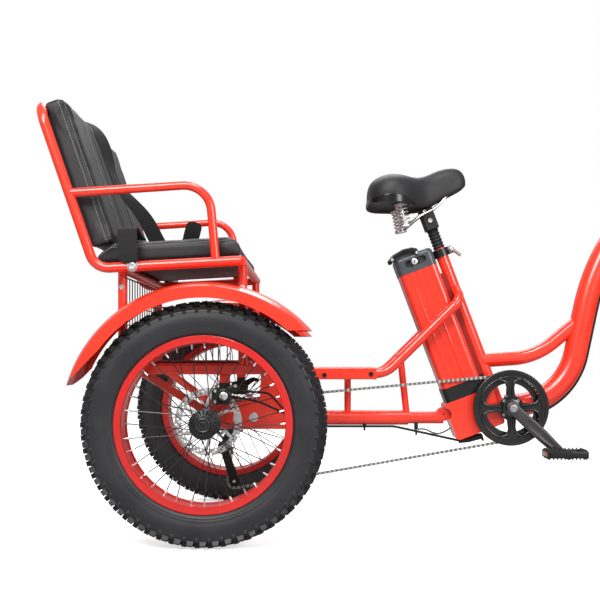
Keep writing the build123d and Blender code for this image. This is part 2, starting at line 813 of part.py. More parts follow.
# Crank set
guard_face_y = chain_y - 12
arm_turns = [45 + crank_deg + 90 * step for step in range(4)]
with BuildPart() as chainring:
    with BuildSketch(Plane(at(bb_x, guard_face_y, bb_z), x_dir=(1, 0, 0), z_dir=(0, -1, 0))):
        Circle(guard_r)
        Circle(guard_r - 18, mode=Mode.SUBTRACT)
        Circle(guard_hub_r)
        for turn in arm_turns:
            with Locations(Location((0, 0, 0), (0, 0, turn))):
                Polygon(
                    (guard_hub_r - 6, -guard_arm_half - 3),
                    (guard_r * 0.6, -guard_arm_half),
                    (guard_r * 0.76, -guard_arm_half - 4),
                    (guard_r - 19, -guard_arm_half - 15),
                    (guard_r - 10, -guard_arm_half - 15),
                    (guard_r - 10, guard_arm_half + 15),
                    (guard_r - 19, guard_arm_half + 15),
                    (guard_r * 0.76, guard_arm_half + 4),
                    (guard_r * 0.6, guard_arm_half),
                    (guard_hub_r - 6, guard_arm_half + 3),
                    align=None,
                )
        Circle(10.0, mode=Mode.SUBTRACT)
    extrude(amount=5)
    with BuildSketch(Plane(at(bb_x, guard_face_y - 5, bb_z), x_dir=(1, 0, 0), z_dir=(0, -1, 0))):
        Circle(guard_r - 3)
        Circle(guard_r - 10, mode=Mode.SUBTRACT)
        Circle(guard_hub_r - 8)
        Circle(10.0, mode=Mode.SUBTRACT)
    extrude(amount=guard_bead)
    with BuildSketch(Plane(at(bb_x, chain_y + 2, bb_z), x_dir=(1, 0, 0), z_dir=(0, -1, 0))):
        Circle(ring_pitch_r - 5)
        Circle(ring_pitch_r - 22, mode=Mode.SUBTRACT)
    extrude(amount=4)
    with BuildSketch(Plane(at(bb_x, chain_y - 1, bb_z), x_dir=(1, 0, 0), z_dir=(0, -1, 0))):
        for turn in arm_turns:
            with Locations(Location((0, 0, 0), (0, 0, turn))):
                with Locations((ring_pitch_r - 13.5, 0)):
                    Circle(6)
    extrude(amount=chain_y - guard_face_y)
save(chainring.part, "chainring")

crank = radians(crank_deg)
right_pin = at(bb_x + crank_length * cos(crank), 0, bb_z + crank_length * sin(crank))
left_pin = at(bb_x - crank_length * cos(crank), 0, bb_z - crank_length * sin(crank))
arm_parts = [disc(bb_x, bb_z, -crank_y - 4, crank_y + 4, 9.9)]
for side, pin in ((-1, right_pin), (1, left_pin)):
    inner_y = side * (crank_y - 8)
    face = Plane(Vector(bb_centre.X, inner_y, bb_centre.Z), x_dir=(1, 0, 0), z_dir=(0, side, 0))
    with BuildPart() as arm:
        with BuildSketch(face):
            pin_spot = face.to_local_coords(Vector(pin.X, inner_y, pin.Z))
            Circle(crank_boss_r)
            with Locations((pin_spot.X, pin_spot.Y)):
                Circle(crank_tip_r)
            make_hull()
        extrude(amount=14)
        fillet(arm.faces().sort_by(Axis.Y)[-1 if side > 0 else 0].edges(), crank_edge)
    arm_parts.append(arm.part)
crank_arms = fused(*arm_parts)
save(crank_arms, "crank_arms")

for side, pin, name in ((-1, right_pin, "pedal_right"), (1, left_pin, "pedal_left")):
    near = side * (crank_y + 6 + 0.3)
    far = side * (pedal_y + pedal_width / 2)
    low, high = min(near, far), max(near, far)
    body_low = min(side * (pedal_y - pedal_width / 2), far)
    with BuildPart() as pedal:
        with BuildSketch(Plane(Vector(pin.X, low, pin.Z), x_dir=(1, 0, 0), z_dir=(0, 1, 0))):
            Circle(8)
        extrude(amount=high - low)
        with BuildSketch(Plane(Vector(pin.X, body_low + pedal_width / 2, pin.Z - pedal_thick / 2))):
            RectangleRounded(pedal_length, pedal_width, pedal_corner)
            with GridLocations(pedal_length / 2 - pedal_bar, 0, 2, 1):
                RectangleRounded(pedal_length / 2 - 2 * pedal_bar, pedal_width - 2 * pedal_bar, 4,
                                 mode=Mode.SUBTRACT)
        extrude(amount=pedal_thick)
        for end in (-1, 1):
            with Locations(Vector(pin.X + end * pedal_length / 2, body_low + pedal_width / 2, pin.Z)):
                Box(5, pedal_width * 0.56, 11, mode=Mode.SUBTRACT)
    save(pedal.part, name)

# Chain: one band round the ring, the working sprocket and the two guide wheels
wheels = [
    # x, z, radius, turning sense of the band
    (rear_x + bb_x, bb_z, ring_pitch_r, 1),
    (rear_x, axle_z, sprocket_pitch_r, 1),
    (rear_x + jockey_high_x, jockey_high_z, jockey_r, -1),
    (rear_x + jockey_low_x, jockey_low_z, jockey_r, 1),
]


def tangent(first, second):
    """Ends of the straight run between two wheels, for a band turning anticlockwise round +1 wheels."""
    x1, z1, r1, s1 = first
    x2, z2, r2, s2 = second
    gap = hypot(x2 - x1, z2 - z1)
    heading = atan2(z2 - z1, x2 - x1)
    offset = (s1 * r1 - s2 * r2) / gap
    swing = heading - radians(90) + (radians(90) - atan2((1 - offset ** 2) ** 0.5, offset))
    normal = (cos(swing), sin(swing))
    start = (x1 + s1 * r1 * normal[0], z1 + s1 * r1 * normal[1])
    end = (x2 + s2 * r2 * normal[0], z2 + s2 * r2 * normal[1])
    return start, end


runs = [tangent(wheels[i], wheels[(i + 1) % 4]) for i in range(4)]
with BuildPart() as chain:
    with BuildLine() as loop:
        for i in range(4):
            (sx, sz), (ex, ez) = runs[i]
            Line((sx, chain_y, sz), (ex, chain_y, ez))
            x, z, r, sense = wheels[(i + 1) % 4]
            nx, nz = runs[(i + 1) % 4][0]
            first = atan2(ez - z, ex - x)
            last = atan2(nz - z, nx - x)
            sweep_angle = (last - first) * sense % (2 * 3.141592653589793) * sense
            mid = first + sweep_angle / 2
            ThreePointArc((ex, chain_y, ez), (x + r * cos(mid), chain_y, z + r * sin(mid)),
                          (nx, chain_y, nz))
    with BuildSketch(Plane(origin=loop.wire() @ 0, x_dir=(0, 1, 0), z_dir=loop.wire() % 0)):
        Rectangle(2 * chain_half, 2 * chain_tall)
    sweep(path=loop.wire())
save(chain.part, "chain")

# Rear axle with sprockets, and the gear changer
axle_end = track / 2 + hub_half + 4
with BuildPart() as rear_axle:
    add(disc(0, axle_z, -axle_end, axle_end - 6, axle_radius))
    for step, radius in enumerate((44.0, 40.0, sprocket_pitch_r - 5, 30.0, 27.0)):
        y = chain_y + 10 - step * 5.0
        teeth = int(radius / 2)
        with BuildSketch(Plane(at(0, y - 1, axle_z), x_dir=(1, 0, 0), z_dir=(0, 1, 0))):
            outline = []
            for k in range(2 * teeth):
                reach = radius - 4 * (k % 2)
                outline.append((reach * cos(pi * k / teeth), reach * sin(pi * k / teeth)))
            Polygon(*outline, align=None)
        extrude(amount=2)
    add(disc(0, axle_z, chain_y - 14, chain_y + 16, 22))
save(rear_axle.part, "rear_axle")

cage_run = hypot(jockey_low_x - jockey_high_x, jockey_low_z - jockey_high_z)
cage_turn = degrees(atan2(jockey_low_z - jockey_high_z, jockey_low_x - jockey_high_x))
cage_middle = ((jockey_high_x + jockey_low_x) / 2, (jockey_high_z + jockey_low_z) / 2, 0)
hanger_y = -plate_half + 1
with BuildPart() as derailleur:
    for x, z in ((jockey_high_x, jockey_high_z), (jockey_low_x, jockey_low_z)):
        add(disc(x, z, chain_y - 2, chain_y + 2, jockey_r - 5))
        add(disc(x, z, chain_y - cage_half, chain_y + cage_half, 5))
    for y in (chain_y - cage_half - 1, chain_y + cage_half - 1.5):
        with BuildSketch(Plane(at(0, y, 0), x_dir=(1, 0, 0), z_dir=(0, -1, 0))):
            with Locations(Location(cage_middle, (0, 0, cage_turn))):
                SlotCenterToCenter(cage_run, cage_wide)
        extrude(amount=-cage_thick)
    add(rod(at(jockey_high_x, chain_y - 6.5, jockey_high_z),
            at(jockey_high_x, hanger_y + 1, jockey_high_z), 9))
    add(beam(at(jockey_high_x, hanger_y, jockey_high_z - 8),
             at(jockey_high_x + 26, hanger_y, plate_low_z + 8), 6, 22))
save(cut(derailleur.part, rear_subframe), "derailleur")

# Wheels: tyre, rim, hub with spokes and brake disc, for the right rear; the left is its mirror image
def lug_ring(centre, y_low, y_high, turn):
    """One row of tread blocks, standing out of a band that lies in the casing."""
    pitch = 360 / lug_count
    with BuildPart() as ring:
        with BuildSketch(Plane(centre + Vector(0, y_low, 0), x_dir=(1, 0, 0), z_dir=(0, 1, 0))):
            with BuildLine():
                outline = []
                for step in range(lug_count):
                    start = radians(turn + pitch * step)
                    stop = start + radians(pitch * lug_fill)
                    for angle, reach in ((start, tyre_radius - lug_height), (start, tyre_radius),
                                         (stop, tyre_radius), (stop, tyre_radius - lug_height)):
                        outline.append((reach * cos(angle), reach * sin(angle)))
                Polyline(*outline, close=True)
            make_face()
            Circle(tyre_radius - 2 * lug_height, mode=Mode.SUBTRACT)
        extrude(amount=y_high - y_low)
    return ring.part


def tyre_at(centre):
    """A fat knobbly tyre about a line along Y: a casing and two staggered rows of blocks."""
    half = tyre_width / 2
    lip = rim_width / 2 - rim_wall - bead_gap
    bead = lip - (half - lip) * bead_depth / sidewall_rise
    shoulder = tyre_radius - lug_height - shoulder_drop
    with BuildPart() as tyre:
        with BuildSketch(Plane(centre, x_dir=(0, 1, 0), z_dir=(1, 0, 0))):
            Polygon(
                (-bead, rim_radius - bead_depth), (-half, rim_radius + sidewall_rise),
                (-tread_half, shoulder), (tread_half, shoulder),
                (half, rim_radius + sidewall_rise), (bead, rim_radius - bead_depth),
                align=None,
            )
        revolve(axis=Axis(centre, (0, 1, 0)))
        add(lug_ring(centre, -tread_half, -lug_row_gap, 0))
        add(lug_ring(centre, lug_row_gap, tread_half, 180 / lug_count))
    return tyre.part


def rim_at(centre):
    """A wide single-wall rim: a bed between two flanges."""
    half = rim_width / 2
    bed = rim_radius - rim_depth
    with BuildPart() as rim:
        with BuildSketch(Plane(centre, x_dir=(0, 1, 0), z_dir=(1, 0, 0))):
            Polygon(
                (-half, rim_radius), (-half + rim_wall, rim_radius),
                (-half + rim_wall, rim_radius - 12), (half - rim_wall, rim_radius - 12),
                (half - rim_wall, rim_radius), (half, rim_radius),
                (half, bed), (half - 8, bed), (half - 12, bed + rim_step),
                (-half + 12, bed + rim_step), (-half + 8, bed), (-half, bed),
                align=None,
            )
        revolve(axis=Axis(centre, (0, 1, 0)))
    return rim.part


def spokes_at(centre, flange_r, flange_half, count, cross_deg):
    """Straight wires from both hub flanges out to the rim bed."""
    reach = rim_radius - rim_depth + rim_step - spoke_gap
    root = flange_r - spoke_seat
    wires = []
    for index in range(count):
        side = -1 if index % 2 else 1
        lead = cross_deg if (index // 2) % 2 else -cross_deg
        rim_turn = radians(360 / count * index)
        hub_turn = rim_turn + radians(lead)
        start = centre + Vector(root * cos(hub_turn), side * flange_half, root * sin(hub_turn))
        end = centre + Vector(reach * cos(rim_turn), side * spoke_rim_half, reach * sin(rim_turn))
        with BuildPart() as wire_part:
            with BuildSketch(Plane(origin=start, z_dir=end - start)):
                Rectangle(spoke_size, spoke_size)
            extrude(amount=(end - start).length)
        wires.append(wire_part.part)
    return wires


rear_right = at(0, -track / 2, axle_z)
save(tyre_at(rear_right), "rear_tyre_right")
save(mirror(tyre_at(rear_right), about=Plane.XZ), "rear_tyre_left")
save(rim_at(rear_right), "rear_rim_right")
save(mirror(rim_at(rear_right), about=Plane.XZ), "rear_rim_left")

hub_mid = -track / 2


def rear_hub(bore):
    """Rear hub shell with two spoke flanges and the carrier of its brake disc."""
    shell = [
        disc(0, axle_z, hub_mid - hub_half, hub_mid + hub_half, hub_core_radius + 8, bore),
        disc(0, axle_z, hub_mid + hub_half, hub_mid + rotor_inset + 6, hub_core_radius, bore),
    ]
    for flange_y in (hub_mid - rear_flange_half, hub_mid + rear_flange_half):
        shell.append(disc(0, axle_z, flange_y - flange_thick / 2, flange_y + flange_thick / 2,
                          rear_flange_radius, bore))
    return fused(*shell, *spokes_at(rear_right, rear_flange_radius, rear_flange_half, spoke_count,
                                    spoke_cross_deg))


hub_right = rear_hub(axle_radius)
save(hub_right, "rear_hub_right")
save(mirror(rear_hub(axle_radius + run_fit), about=Plane.XZ), "rear_hub_left")
rotor_y = hub_mid + rotor_inset
rotor = disc(0, axle_z, rotor_y - rotor_thick / 2, rotor_y + rotor_thick / 2, rotor_radius, hub_core_radius)
save(rotor, "rear_rotor_right")
save(mirror(rotor, about=Plane.XZ), "rear_rotor_left")

pad_radius = rotor_radius - pad_inset
caliper_turn = radians(caliper_deg)
with BuildPart() as caliper:
    spot = at(pad_radius * cos(caliper_turn), rotor_y, axle_z + pad_radius * sin(caliper_turn))
    with BuildSketch(Plane(spot - Vector(0, 21, 0), x_dir=(1, 0, 0), z_dir=(0, 1, 0))):
        RectangleRounded(46, 40, 8)
    extrude(amount=42)
    add(disc(0, axle_z, rotor_y - 3.2, rotor_y + 3.2, rotor_radius + 6), mode=Mode.SUBTRACT)
    add(beam(spot + Vector(6, 18, 8), Vector(spot.X + 6, spot.Y + 18, sub_rail_z), 12, 26))
    add(rear_subframe, mode=Mode.SUBTRACT)
save(Compound(children=both_sides(caliper.part.solids().sort_by(SortBy.VOLUME)[-1])), "rear_calipers")

# Front wheel with a hub motor
save(tyre_at(front_axle), "front_tyre")
save(rim_at(front_axle), "front_rim")
front_x = wheelbase
motor = [
    disc(front_x, axle_z, -motor_half, motor_half, motor_radius - 6, axle_radius - 3),
    disc(front_x, axle_z, -32, -26, motor_radius, axle_radius - 3),
    disc(front_x, axle_z, 26, 32, motor_radius, axle_radius - 3),
    disc(front_x, axle_z, motor_half, motor_half + 5, 30, axle_radius - 3),
]
save(fused(*motor, *spokes_at(front_axle, motor_radius, 29, spoke_count, 14)), "front_hub")
front_rotor_y = motor_half + 3.5
front_rotor = disc(front_x, axle_z, front_rotor_y - rotor_thick / 2, front_rotor_y + rotor_thick / 2,
                   rotor_radius, 30)
save(front_rotor, "front_rotor")

# Fork: steerer, crown, two stanchions and the lower legs with their arch and axle
crown_top = fork_length - crown_gap
crown_low = crown_top - crown_height
steerer_top = fork_length + head_tube_length + 46
with BuildPart() as crown:
    with BuildSketch(Plane(origin=steer_base + steer_up * crown_low, x_dir=steer_fore, z_dir=steer_up)):
        with Locations((fork_offset / 2, 0)):
            RectangleRounded(46 + fork_offset, 2 * leg_half + 40, 18)
    extrude(amount=crown_height)
fork_parts = [
    crown.part,
    rod(steer_base + steer_up * crown_low, steer_base + steer_up * steerer_top, steerer_r),
    rod(steer_base + steer_up * crown_top, steer_base + steer_up * (fork_length - headset_gap), head_tube_r),
    rod(front_axle - Vector(0, leg_half + 6, 0), front_axle + Vector(0, leg_half + 6, 0), axle_radius - 3.2),
]
for side in (-1, 1):
    foot = front_axle + Vector(0, side * leg_half, 0)
    fork_parts.append(rod(foot + steer_up * 180, foot + steer_up * crown_top, stanchion_r))
    fork_parts.append(rod(foot - steer_up * leg_drop, foot + steer_up * lower_leg_top, leg_r))
    fork_parts.append(rod(foot - Vector(0, side * 14, 0), foot, 16))
arch_points = [
    front_axle + steer_up * (lower_leg_top - 30) + Vector(0, -leg_half, 0),
    front_axle + steer_up * 372 + Vector(0, -leg_half + 4, 0),
    front_axle + steer_up * 372 + Vector(0, leg_half - 4, 0),
    front_axle + steer_up * (lower_leg_top - 30) + Vector(0, leg_half, 0),
]
fork_parts.append(bent_tube(arch_points, 10, [34, 34]))
fork = fused(*fork_parts)
save(fork, "fork")

front_caliper_turn = radians(front_caliper_deg)
with BuildPart() as front_caliper:
    spot = at(front_x + pad_radius * cos(front_caliper_turn), front_rotor_y,
              axle_z + pad_radius * sin(front_caliper_turn))
    with BuildSketch(Plane(spot + Vector(0, 5, 0), x_dir=(1, 0, 0), z_dir=(0, 1, 0))):
        with Locations((6, 0)):
            RectangleRounded(52, 46, 8)
    extrude(amount=leg_half - front_rotor_y)
    add(fork, mode=Mode.SUBTRACT)
save(front_caliper.part.solids().sort_by(SortBy.VOLUME)[-1], "front_caliper")

# Front fender, carried by the fork arch
with BuildPart() as front_fender_shell:
    with BuildSketch(Plane(front_axle, x_dir=(0, 1, 0), z_dir=(1, 0, 0))):
        with BuildLine():
            ThreePointArc((-56, tyre_radius + 4), (0, tyre_radius + 24), (56, tyre_radius + 4))
            Line((56, tyre_radius + 4), (53.5, tyre_radius + 4))
            ThreePointArc((53.5, tyre_radius + 4), (0, tyre_radius + 21.5), (-53.5, tyre_radius + 4))
            Line((-53.5, tyre_radius + 4), (-56, tyre_radius + 4))
        make_face()
    revolve(axis=Axis(front_axle, (0, -1, 0)), revolution_arc=125)
front_fender = front_fender_shell.part.rotate(Axis(front_axle, (0, -1, 0)), -50)
hanger = rod(front_axle + steer_up * (tyre_radius + 22), front_axle + steer_up * 372, 9)
save(cut(fused(front_fender, hanger), fork), "front_fender")

# Stem, handlebar and what it carries
stem_low = fork_length + head_tube_length + headset_gap
clamp_centre = steer_base + steer_up * (stem_low + stem_height - 16) + steer_fore * stem_reach
bar_up = Vector(-sin(radians(bar_sweep_lean)), 0, cos(radians(bar_sweep_lean)))
with BuildPart() as stem:
    add(rod(steer_base + steer_up * stem_low, steer_base + steer_up * (stem_low + stem_height), 21))
    add(beam(steer_base + steer_up * (stem_low + stem_height - 18), clamp_centre, 34, 30))
    add(rod(clamp_centre - Vector(0, 24, 0), clamp_centre + Vector(0, 24, 0), bar_r + 8))
    add(rod(steer_base + steer_up * (stem_low - 1), steer_base + steer_up * steerer_top, steerer_r),
        mode=Mode.SUBTRACT)
bar_points = [clamp_centre + bar_up * rise + Vector(0, y, 0) for y, rise in (
    (-bar_half, bar_end_rise), (-bar_rise_half, bar_rise), (-bar_centre_half, 0.0),
    (bar_centre_half, 0.0), (bar_rise_half, bar_rise), (bar_half, bar_end_rise))]
handlebar = bent_tube(bar_points, bar_r, [70, 40, 40, 70])
save(cut(stem.part, handlebar), "stem")
save(handlebar, "handlebar")

outward = (bar_points[5] - bar_points[4]).normalized()
grip_parts = []
lever_parts = []
for side in (-1, 1):
    run = Vector(outward.X, side * outward.Y, outward.Z)
    tip = bar_points[0] if side < 0 else bar_points[5]
    inner_end = tip - run * (grip_length - 4)
    with BuildPart() as grip:
        with BuildSketch(Plane(origin=inner_end, z_dir=run)):
            Circle(grip_r)
        extrude(amount=grip_length)
        add(handlebar, mode=Mode.SUBTRACT)
    grip_parts.append(grip.part)
    clamp_end = inner_end - run * 4
    with BuildPart() as lever_clamp:
        add(rod(clamp_end - run * 22, clamp_end, grip_r + 1))
        add(beam(clamp_end - run * 11, clamp_end - run * 11 + Vector(40, 0, -14), 20, 16))
        add(handlebar, mode=Mode.SUBTRACT)
    lever_parts.append(lever_clamp.part)
    pivot = clamp_end - run * 11 + Vector(46.5, 0, -16)
    lever_parts.append(cut(rod(pivot, pivot + run * 118 + Vector(-6, 0, -4), 6.5), lever_clamp.part))
save(Compound(children=grip_parts), "grips")
save(Compound(children=lever_parts), "brake_levers")

with BuildPart() as display:
    add(rod(clamp_centre + Vector(0, 26, 0), clamp_centre + Vector(0, 40, 0), bar_r + 5))
    with BuildSketch(Plane(clamp_centre + bar_up * 14 + Vector(-6, 34, 0), x_dir=(0, 1, 0),
                           z_dir=Vector(-0.45, 0, 0.89))):
        RectangleRounded(66, 92, 10)
    extrude(amount=15)
    add(handlebar, mode=Mode.SUBTRACT)
    add(stem.part, mode=Mode.SUBTRACT)
save(display.part.solids().sort_by(SortBy.VOLUME)[-1], "display")

lamp_centre = steer_base + steer_up * (crown_top - crown_height / 2) + steer_fore * (fork_offset + 62)
lamp_plane = Plane(lamp_centre, x_dir=(0, 1, 0), z_dir=(1, 0, 0))
with BuildPart() as headlight:
    with BuildSketch(lamp_plane.offset(-26)):
        Circle(24)
    with BuildSketch(lamp_plane.offset(26)):
        Circle(36)
    loft()
    add(rod(lamp_centre - steer_fore * 62, lamp_centre - Vector(20, 0, 0), 9))
    add(fork, mode=Mode.SUBTRACT)
save(headlight.part.solids().sort_by(SortBy.VOLUME)[-1], "headlight")

# Seat belts: webbing down the back and up past the seat's sides, with anchor plates on the rails
belt_wide = 48.0
belt_thick = 3.0
belt_top_y = -50.0
belt_low_y = 40.0
belt_x = -186.0
belt_top_z = 785.0
belt_top_half = 318.0
anchor_r = 15.0
anchor_z = rail_rear_z + (belt_x - rail_rear_x) * tan(radians(seat_slope))
anchor_y = rail_half + seat_tube_r
belt_face = back_plane.x_dir * (back_set + back_thick)
belt_run = hypot(belt_top_y - belt_low_y, back_length - 90)
belt_turn = degrees(atan2(belt_low_y - belt_top_y, back_length - 90))
with BuildPart() as shoulder:
    with BuildSketch(Plane(back_plane.origin + belt_face, x_dir=(0, 1, 0), z_dir=back_plane.x_dir)):
        with Locations(Location((((belt_top_y + belt_low_y) / 2, back_length / 2 + 35)), belt_turn)):
            Rectangle(belt_wide, belt_run)
    extrude(amount=belt_thick)
belts = [shoulder.part]
for side in (-1, 1):
    foot = at(belt_x, side * (anchor_y + 3.2), anchor_z)
    climb = at(belt_x, side * belt_top_half, belt_top_z) - foot
    with BuildPart() as lap:
        with BuildSketch(Plane(foot, x_dir=(1, 0, 0), z_dir=Vector(1, 0, 0).cross(climb.normalized()))):
            with Locations((0, climb.length / 2 + 6)):
                Rectangle(belt_wide, climb.length - 12)
        extrude(amount=belt_thick / 2, both=True)
        with BuildSketch(Plane(at(belt_x, side * anchor_y, anchor_z), x_dir=(1, 0, 0), z_dir=(0, side, 0))):
            Circle(anchor_r)
        extrude(amount=belt_thick + 1)
    belts.append(cut(lap.part, seat_frame, seat_cushion.part).solids().sort_by(SortBy.VOLUME)[-1])
save(Compound(children=belts), "seat_belts")

# Cables, clipped under the lower tube and along the front of the main tube, and to the right caliper
cable_r = 3.5
cable_low = lower_z - lower_rear_r - cable_r
under = bent_tube(
    [
        at(plate_front_x + 8, -9, cable_low),
        at(lower_step_x - 40, -9, cable_low),
        at(lug_x - 20, -9, cable_low - 26),
        at(lug_x + 46, -9, 226),
    ],
    cable_r,
    [80, 60],
)
with BuildPart() as front_cable:
    with BuildLine() as route:
        FilletPolyline(*main_route, radius=[main_low_bend, main_high_bend])
    path = route.wire().trim(0.12, 0.9)
    with BuildSketch(Plane(origin=path @ 0, x_dir=(0, 1, 0), z_dir=path % 0)):
        with Locations((0, -(main_r + cable_r)), (0, main_r + cable_r)):
            Circle(cable_r)
    sweep(path=path)
    add(main_tube, mode=Mode.SUBTRACT)
cable_solids = sorted(front_cable.part.solids(), key=lambda s: s.center().X)
brake_table = (
    # start z, crown x, crown z, end x
    (378.0, 150.0, 372.0, 236.0),
    (366.0, 128.0, 348.0, 250.0),
)
brake_cables = []
for start_z, crown_x, crown_z, end_x in brake_table:
    hose = bent_tube(
        [
            at(48, rotor_y + 14, start_z),
            at(crown_x, rotor_y + 40, crown_z),
            at(end_x - 24, -plate_half - 30, lower_z + 4),
            at(end_x, -lower_rear_r + 2, lower_z - 6),
        ],
        cable_r - 0.7,
        [34, 34],
    )
    brake_cables.append(cut(hose, caliper.part, lower_tube.part, rear_subframe).solids().sort_by(
        SortBy.VOLUME)[-1])
save(Compound(children=[cut(under, box_solid, lower_tube.part).solids().sort_by(SortBy.VOLUME)[-1],
                        cable_solids[-1]] + brake_cables), "cables")
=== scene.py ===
import math
from contextlib import contextmanager

import bmesh
import bpy
from mathutils import Matrix, Vector


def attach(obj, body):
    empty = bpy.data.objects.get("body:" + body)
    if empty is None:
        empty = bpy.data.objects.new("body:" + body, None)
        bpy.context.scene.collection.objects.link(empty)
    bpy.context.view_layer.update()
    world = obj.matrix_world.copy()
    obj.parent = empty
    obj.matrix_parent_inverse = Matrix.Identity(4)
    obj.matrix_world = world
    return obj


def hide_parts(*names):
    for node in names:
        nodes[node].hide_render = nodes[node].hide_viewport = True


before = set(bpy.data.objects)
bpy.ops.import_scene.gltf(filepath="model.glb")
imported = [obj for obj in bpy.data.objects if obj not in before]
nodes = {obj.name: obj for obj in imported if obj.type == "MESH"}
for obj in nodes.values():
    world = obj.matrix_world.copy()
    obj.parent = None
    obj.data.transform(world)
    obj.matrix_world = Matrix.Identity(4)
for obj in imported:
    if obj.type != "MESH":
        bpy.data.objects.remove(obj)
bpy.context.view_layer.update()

# Lengths below are millimetres measured forward from the rear axle, as in the part's source.
REAR = -638.75
MM = 0.001
WHEELBASE, HALF_TRACK, AXLE_Z = 1410, 360, 300
CRANK_X, CRANK_Z = 812, 322
# foot of the seat tube's line, and how that line leans back
TUBE_X, TUBE_Z = 792, 322
LEAN_X, LEAN_Z = 0.3535, 0.9354
CHAIN_Y = -50
CHAIN_PITCH = 12.7
CHAIN_NARROW = 0.66
# the gear changer's two guide wheels, along and up
GUIDES = ((18, 208), (46, 118))
CRANK_LONG, CRANK_TURN = 172, -43
PEDAL_X, PEDAL_Z = 937.8, 204.7
# the posts of the bench
POST_FRONT, POST_REAR = 86, -219
FENDER_RADIUS = 323
SPOKES = 36
SPOKE_REACH = 198.4
# points closer than this are one, in metres
WELD = 0.00002
ORIGIN = Vector((0, 0, 0))
AHEAD, FAR, NEAR, UP = (1, 0, 0), (0, 1, 0), (0, -1, 0), (0, 0, 1)


def at(x, y, z):
    """A point of the tricycle, in metres."""
    return Vector(((REAR + x) * MM, y * MM, z * MM))


def off(centre, x=0, y=0, z=0):
    """A point some mm from another."""
    return centre + Vector((x, y, z)) * MM


def crank_at(y):
    """A point on the crank's axle."""
    return at(CRANK_X, y, CRANK_Z)


# Modelling, as by hand


def clear():
    """Object mode with nothing picked."""
    if bpy.context.object and bpy.context.object.mode != "OBJECT":
        bpy.ops.object.mode_set(mode="OBJECT")
    bpy.ops.object.select_all(action="DESELECT")


def grab(obj):
    """Makes one object the only picked and active one."""
    clear()
    obj.select_set(True)
    bpy.context.view_layer.objects.active = obj
    return obj


def added(name, data):
    """A new object in the scene."""
    obj = bpy.data.objects.new(name, data)
    bpy.context.collection.objects.link(obj)
    return obj


def settle(obj):
    """Puts an object's place into its mesh."""
    grab(obj)
    bpy.ops.object.transform_apply(location=True, rotation=True, scale=True)
    return obj


def apply(obj, kind, **settings):
    """Adds one modifier and applies it."""
    grab(obj)
    mod = obj.modifiers.new("step", kind)
    for key, value in settings.items():
        setattr(mod, key, value)
    bpy.ops.object.modifier_apply(modifier=mod.name)
    return obj


def smooth(obj, degrees=35):
    grab(obj)
    bpy.ops.object.shade_smooth_by_angle(angle=math.radians(degrees))
    return obj


def rounded(obj, width, steps=2, degrees=30):
    """Rounds an object's sharp edges."""
    return apply(obj, "BEVEL", width=width * MM, segments=steps, limit_method="ANGLE",
                 angle_limit=math.radians(degrees))


@contextmanager
def editing(obj):
    """Edit mode on one object, with all of it picked."""
    grab(obj)
    bpy.ops.object.mode_set(mode="EDIT")
    bpy.ops.mesh.select_all(action="SELECT")
    yield
    bpy.ops.object.mode_set(mode="OBJECT")


def mended(obj):
    """Merges doubles and turns the normals outward."""
    with editing(obj):
        bpy.ops.mesh.remove_doubles(threshold=WELD)
        bpy.ops.mesh.normals_make_consistent(inside=False)
    return obj


def box(centre, size, turn=None, edge=0.0, steps=2):
    """A block of size (mm) at a centre, turned by a rotation matrix."""
    clear()
    bpy.ops.mesh.primitive_cube_add(size=1, location=centre)
    obj = bpy.context.object
    obj.scale = Vector(size) * MM
    if turn is not None:
        obj.rotation_euler = turn.to_euler()
    settle(obj)
    if edge:
        rounded(obj, edge, steps)
    return obj


def rod(start, end, radius, sides=20, tip=None, edge=0.0):
    """A round bar between two points, tapering to tip where that is given."""
    clear()
    run = end - start
    bpy.ops.mesh.primitive_cone_add(
        vertices=sides, radius1=radius * MM, radius2=(radius if tip is None else tip) * MM,
        depth=run.length, location=(start + end) / 2, rotation=run.to_track_quat("Z", "Y").to_euler())
    obj = settle(bpy.context.object)
    if edge:
        rounded(obj, edge, 2, 50)
    return obj


def hoop(centre, radius, thick, axis=FAR, sides=96, ring=10):
    """A round wire bent to a circle."""
    clear()
    bpy.ops.mesh.primitive_torus_add(
        major_radius=radius * MM, minor_radius=thick * MM, major_segments=sides, minor_segments=ring,
        location=centre, rotation=Vector(axis).to_track_quat("Z", "Y").to_euler())
    return settle(bpy.context.object)


def lathe(profile, centre, axis=FAR, steps=96):
    """Turns a profile of (radius, along) pairs in mm about a line through a centre."""
    clear()
    bpy.ops.mesh.primitive_circle_add(vertices=len(profile), radius=1)
    obj = bpy.context.object
    line = Vector(axis).normalized()
    side = line.cross(Vector(UP))
    side = Vector(AHEAD) if side.length < 0.1 else side.normalized()
    for vertex, (radius, along) in zip(obj.data.vertices, profile):
        vertex.co = centre + side * (radius * MM) + line * (along * MM)
    with editing(obj):
        bpy.ops.mesh.spin(steps=steps, angle=2 * math.pi, center=centre, axis=line)
    return mended(obj)


def route(name, lines, radius, ring, order, steps):
    """A curve object: round wire along lists of points, straight runs or smooth lines of the given order."""
    data = bpy.data.curves.new(name, "CURVE")
    data.dimensions = "3D"
    data.bevel_depth = radius * MM
    data.bevel_resolution = ring
    data.use_fill_caps = True
    data.resolution_u = steps
    for points in lines:
        line = data.splines.new("NURBS" if order else "POLY")
        line.points.add(len(points) - 1)
        for spot, point in zip(line.points, points):
            spot.co = (*point, 1)
        if order:
            line.order_u = order
            line.use_endpoint_u = True
    return added(name, data)


def wires(lines, radius, ring=4, order=0):
    """Round wires as one mesh."""
    clear()
    grab(route("route", lines, radius, ring, order, 6))
    bpy.ops.object.convert(target="MESH")
    return mended(bpy.context.object)


def tube(points, radius, ring=4, order=0):
    return wires([points], radius, ring, order)


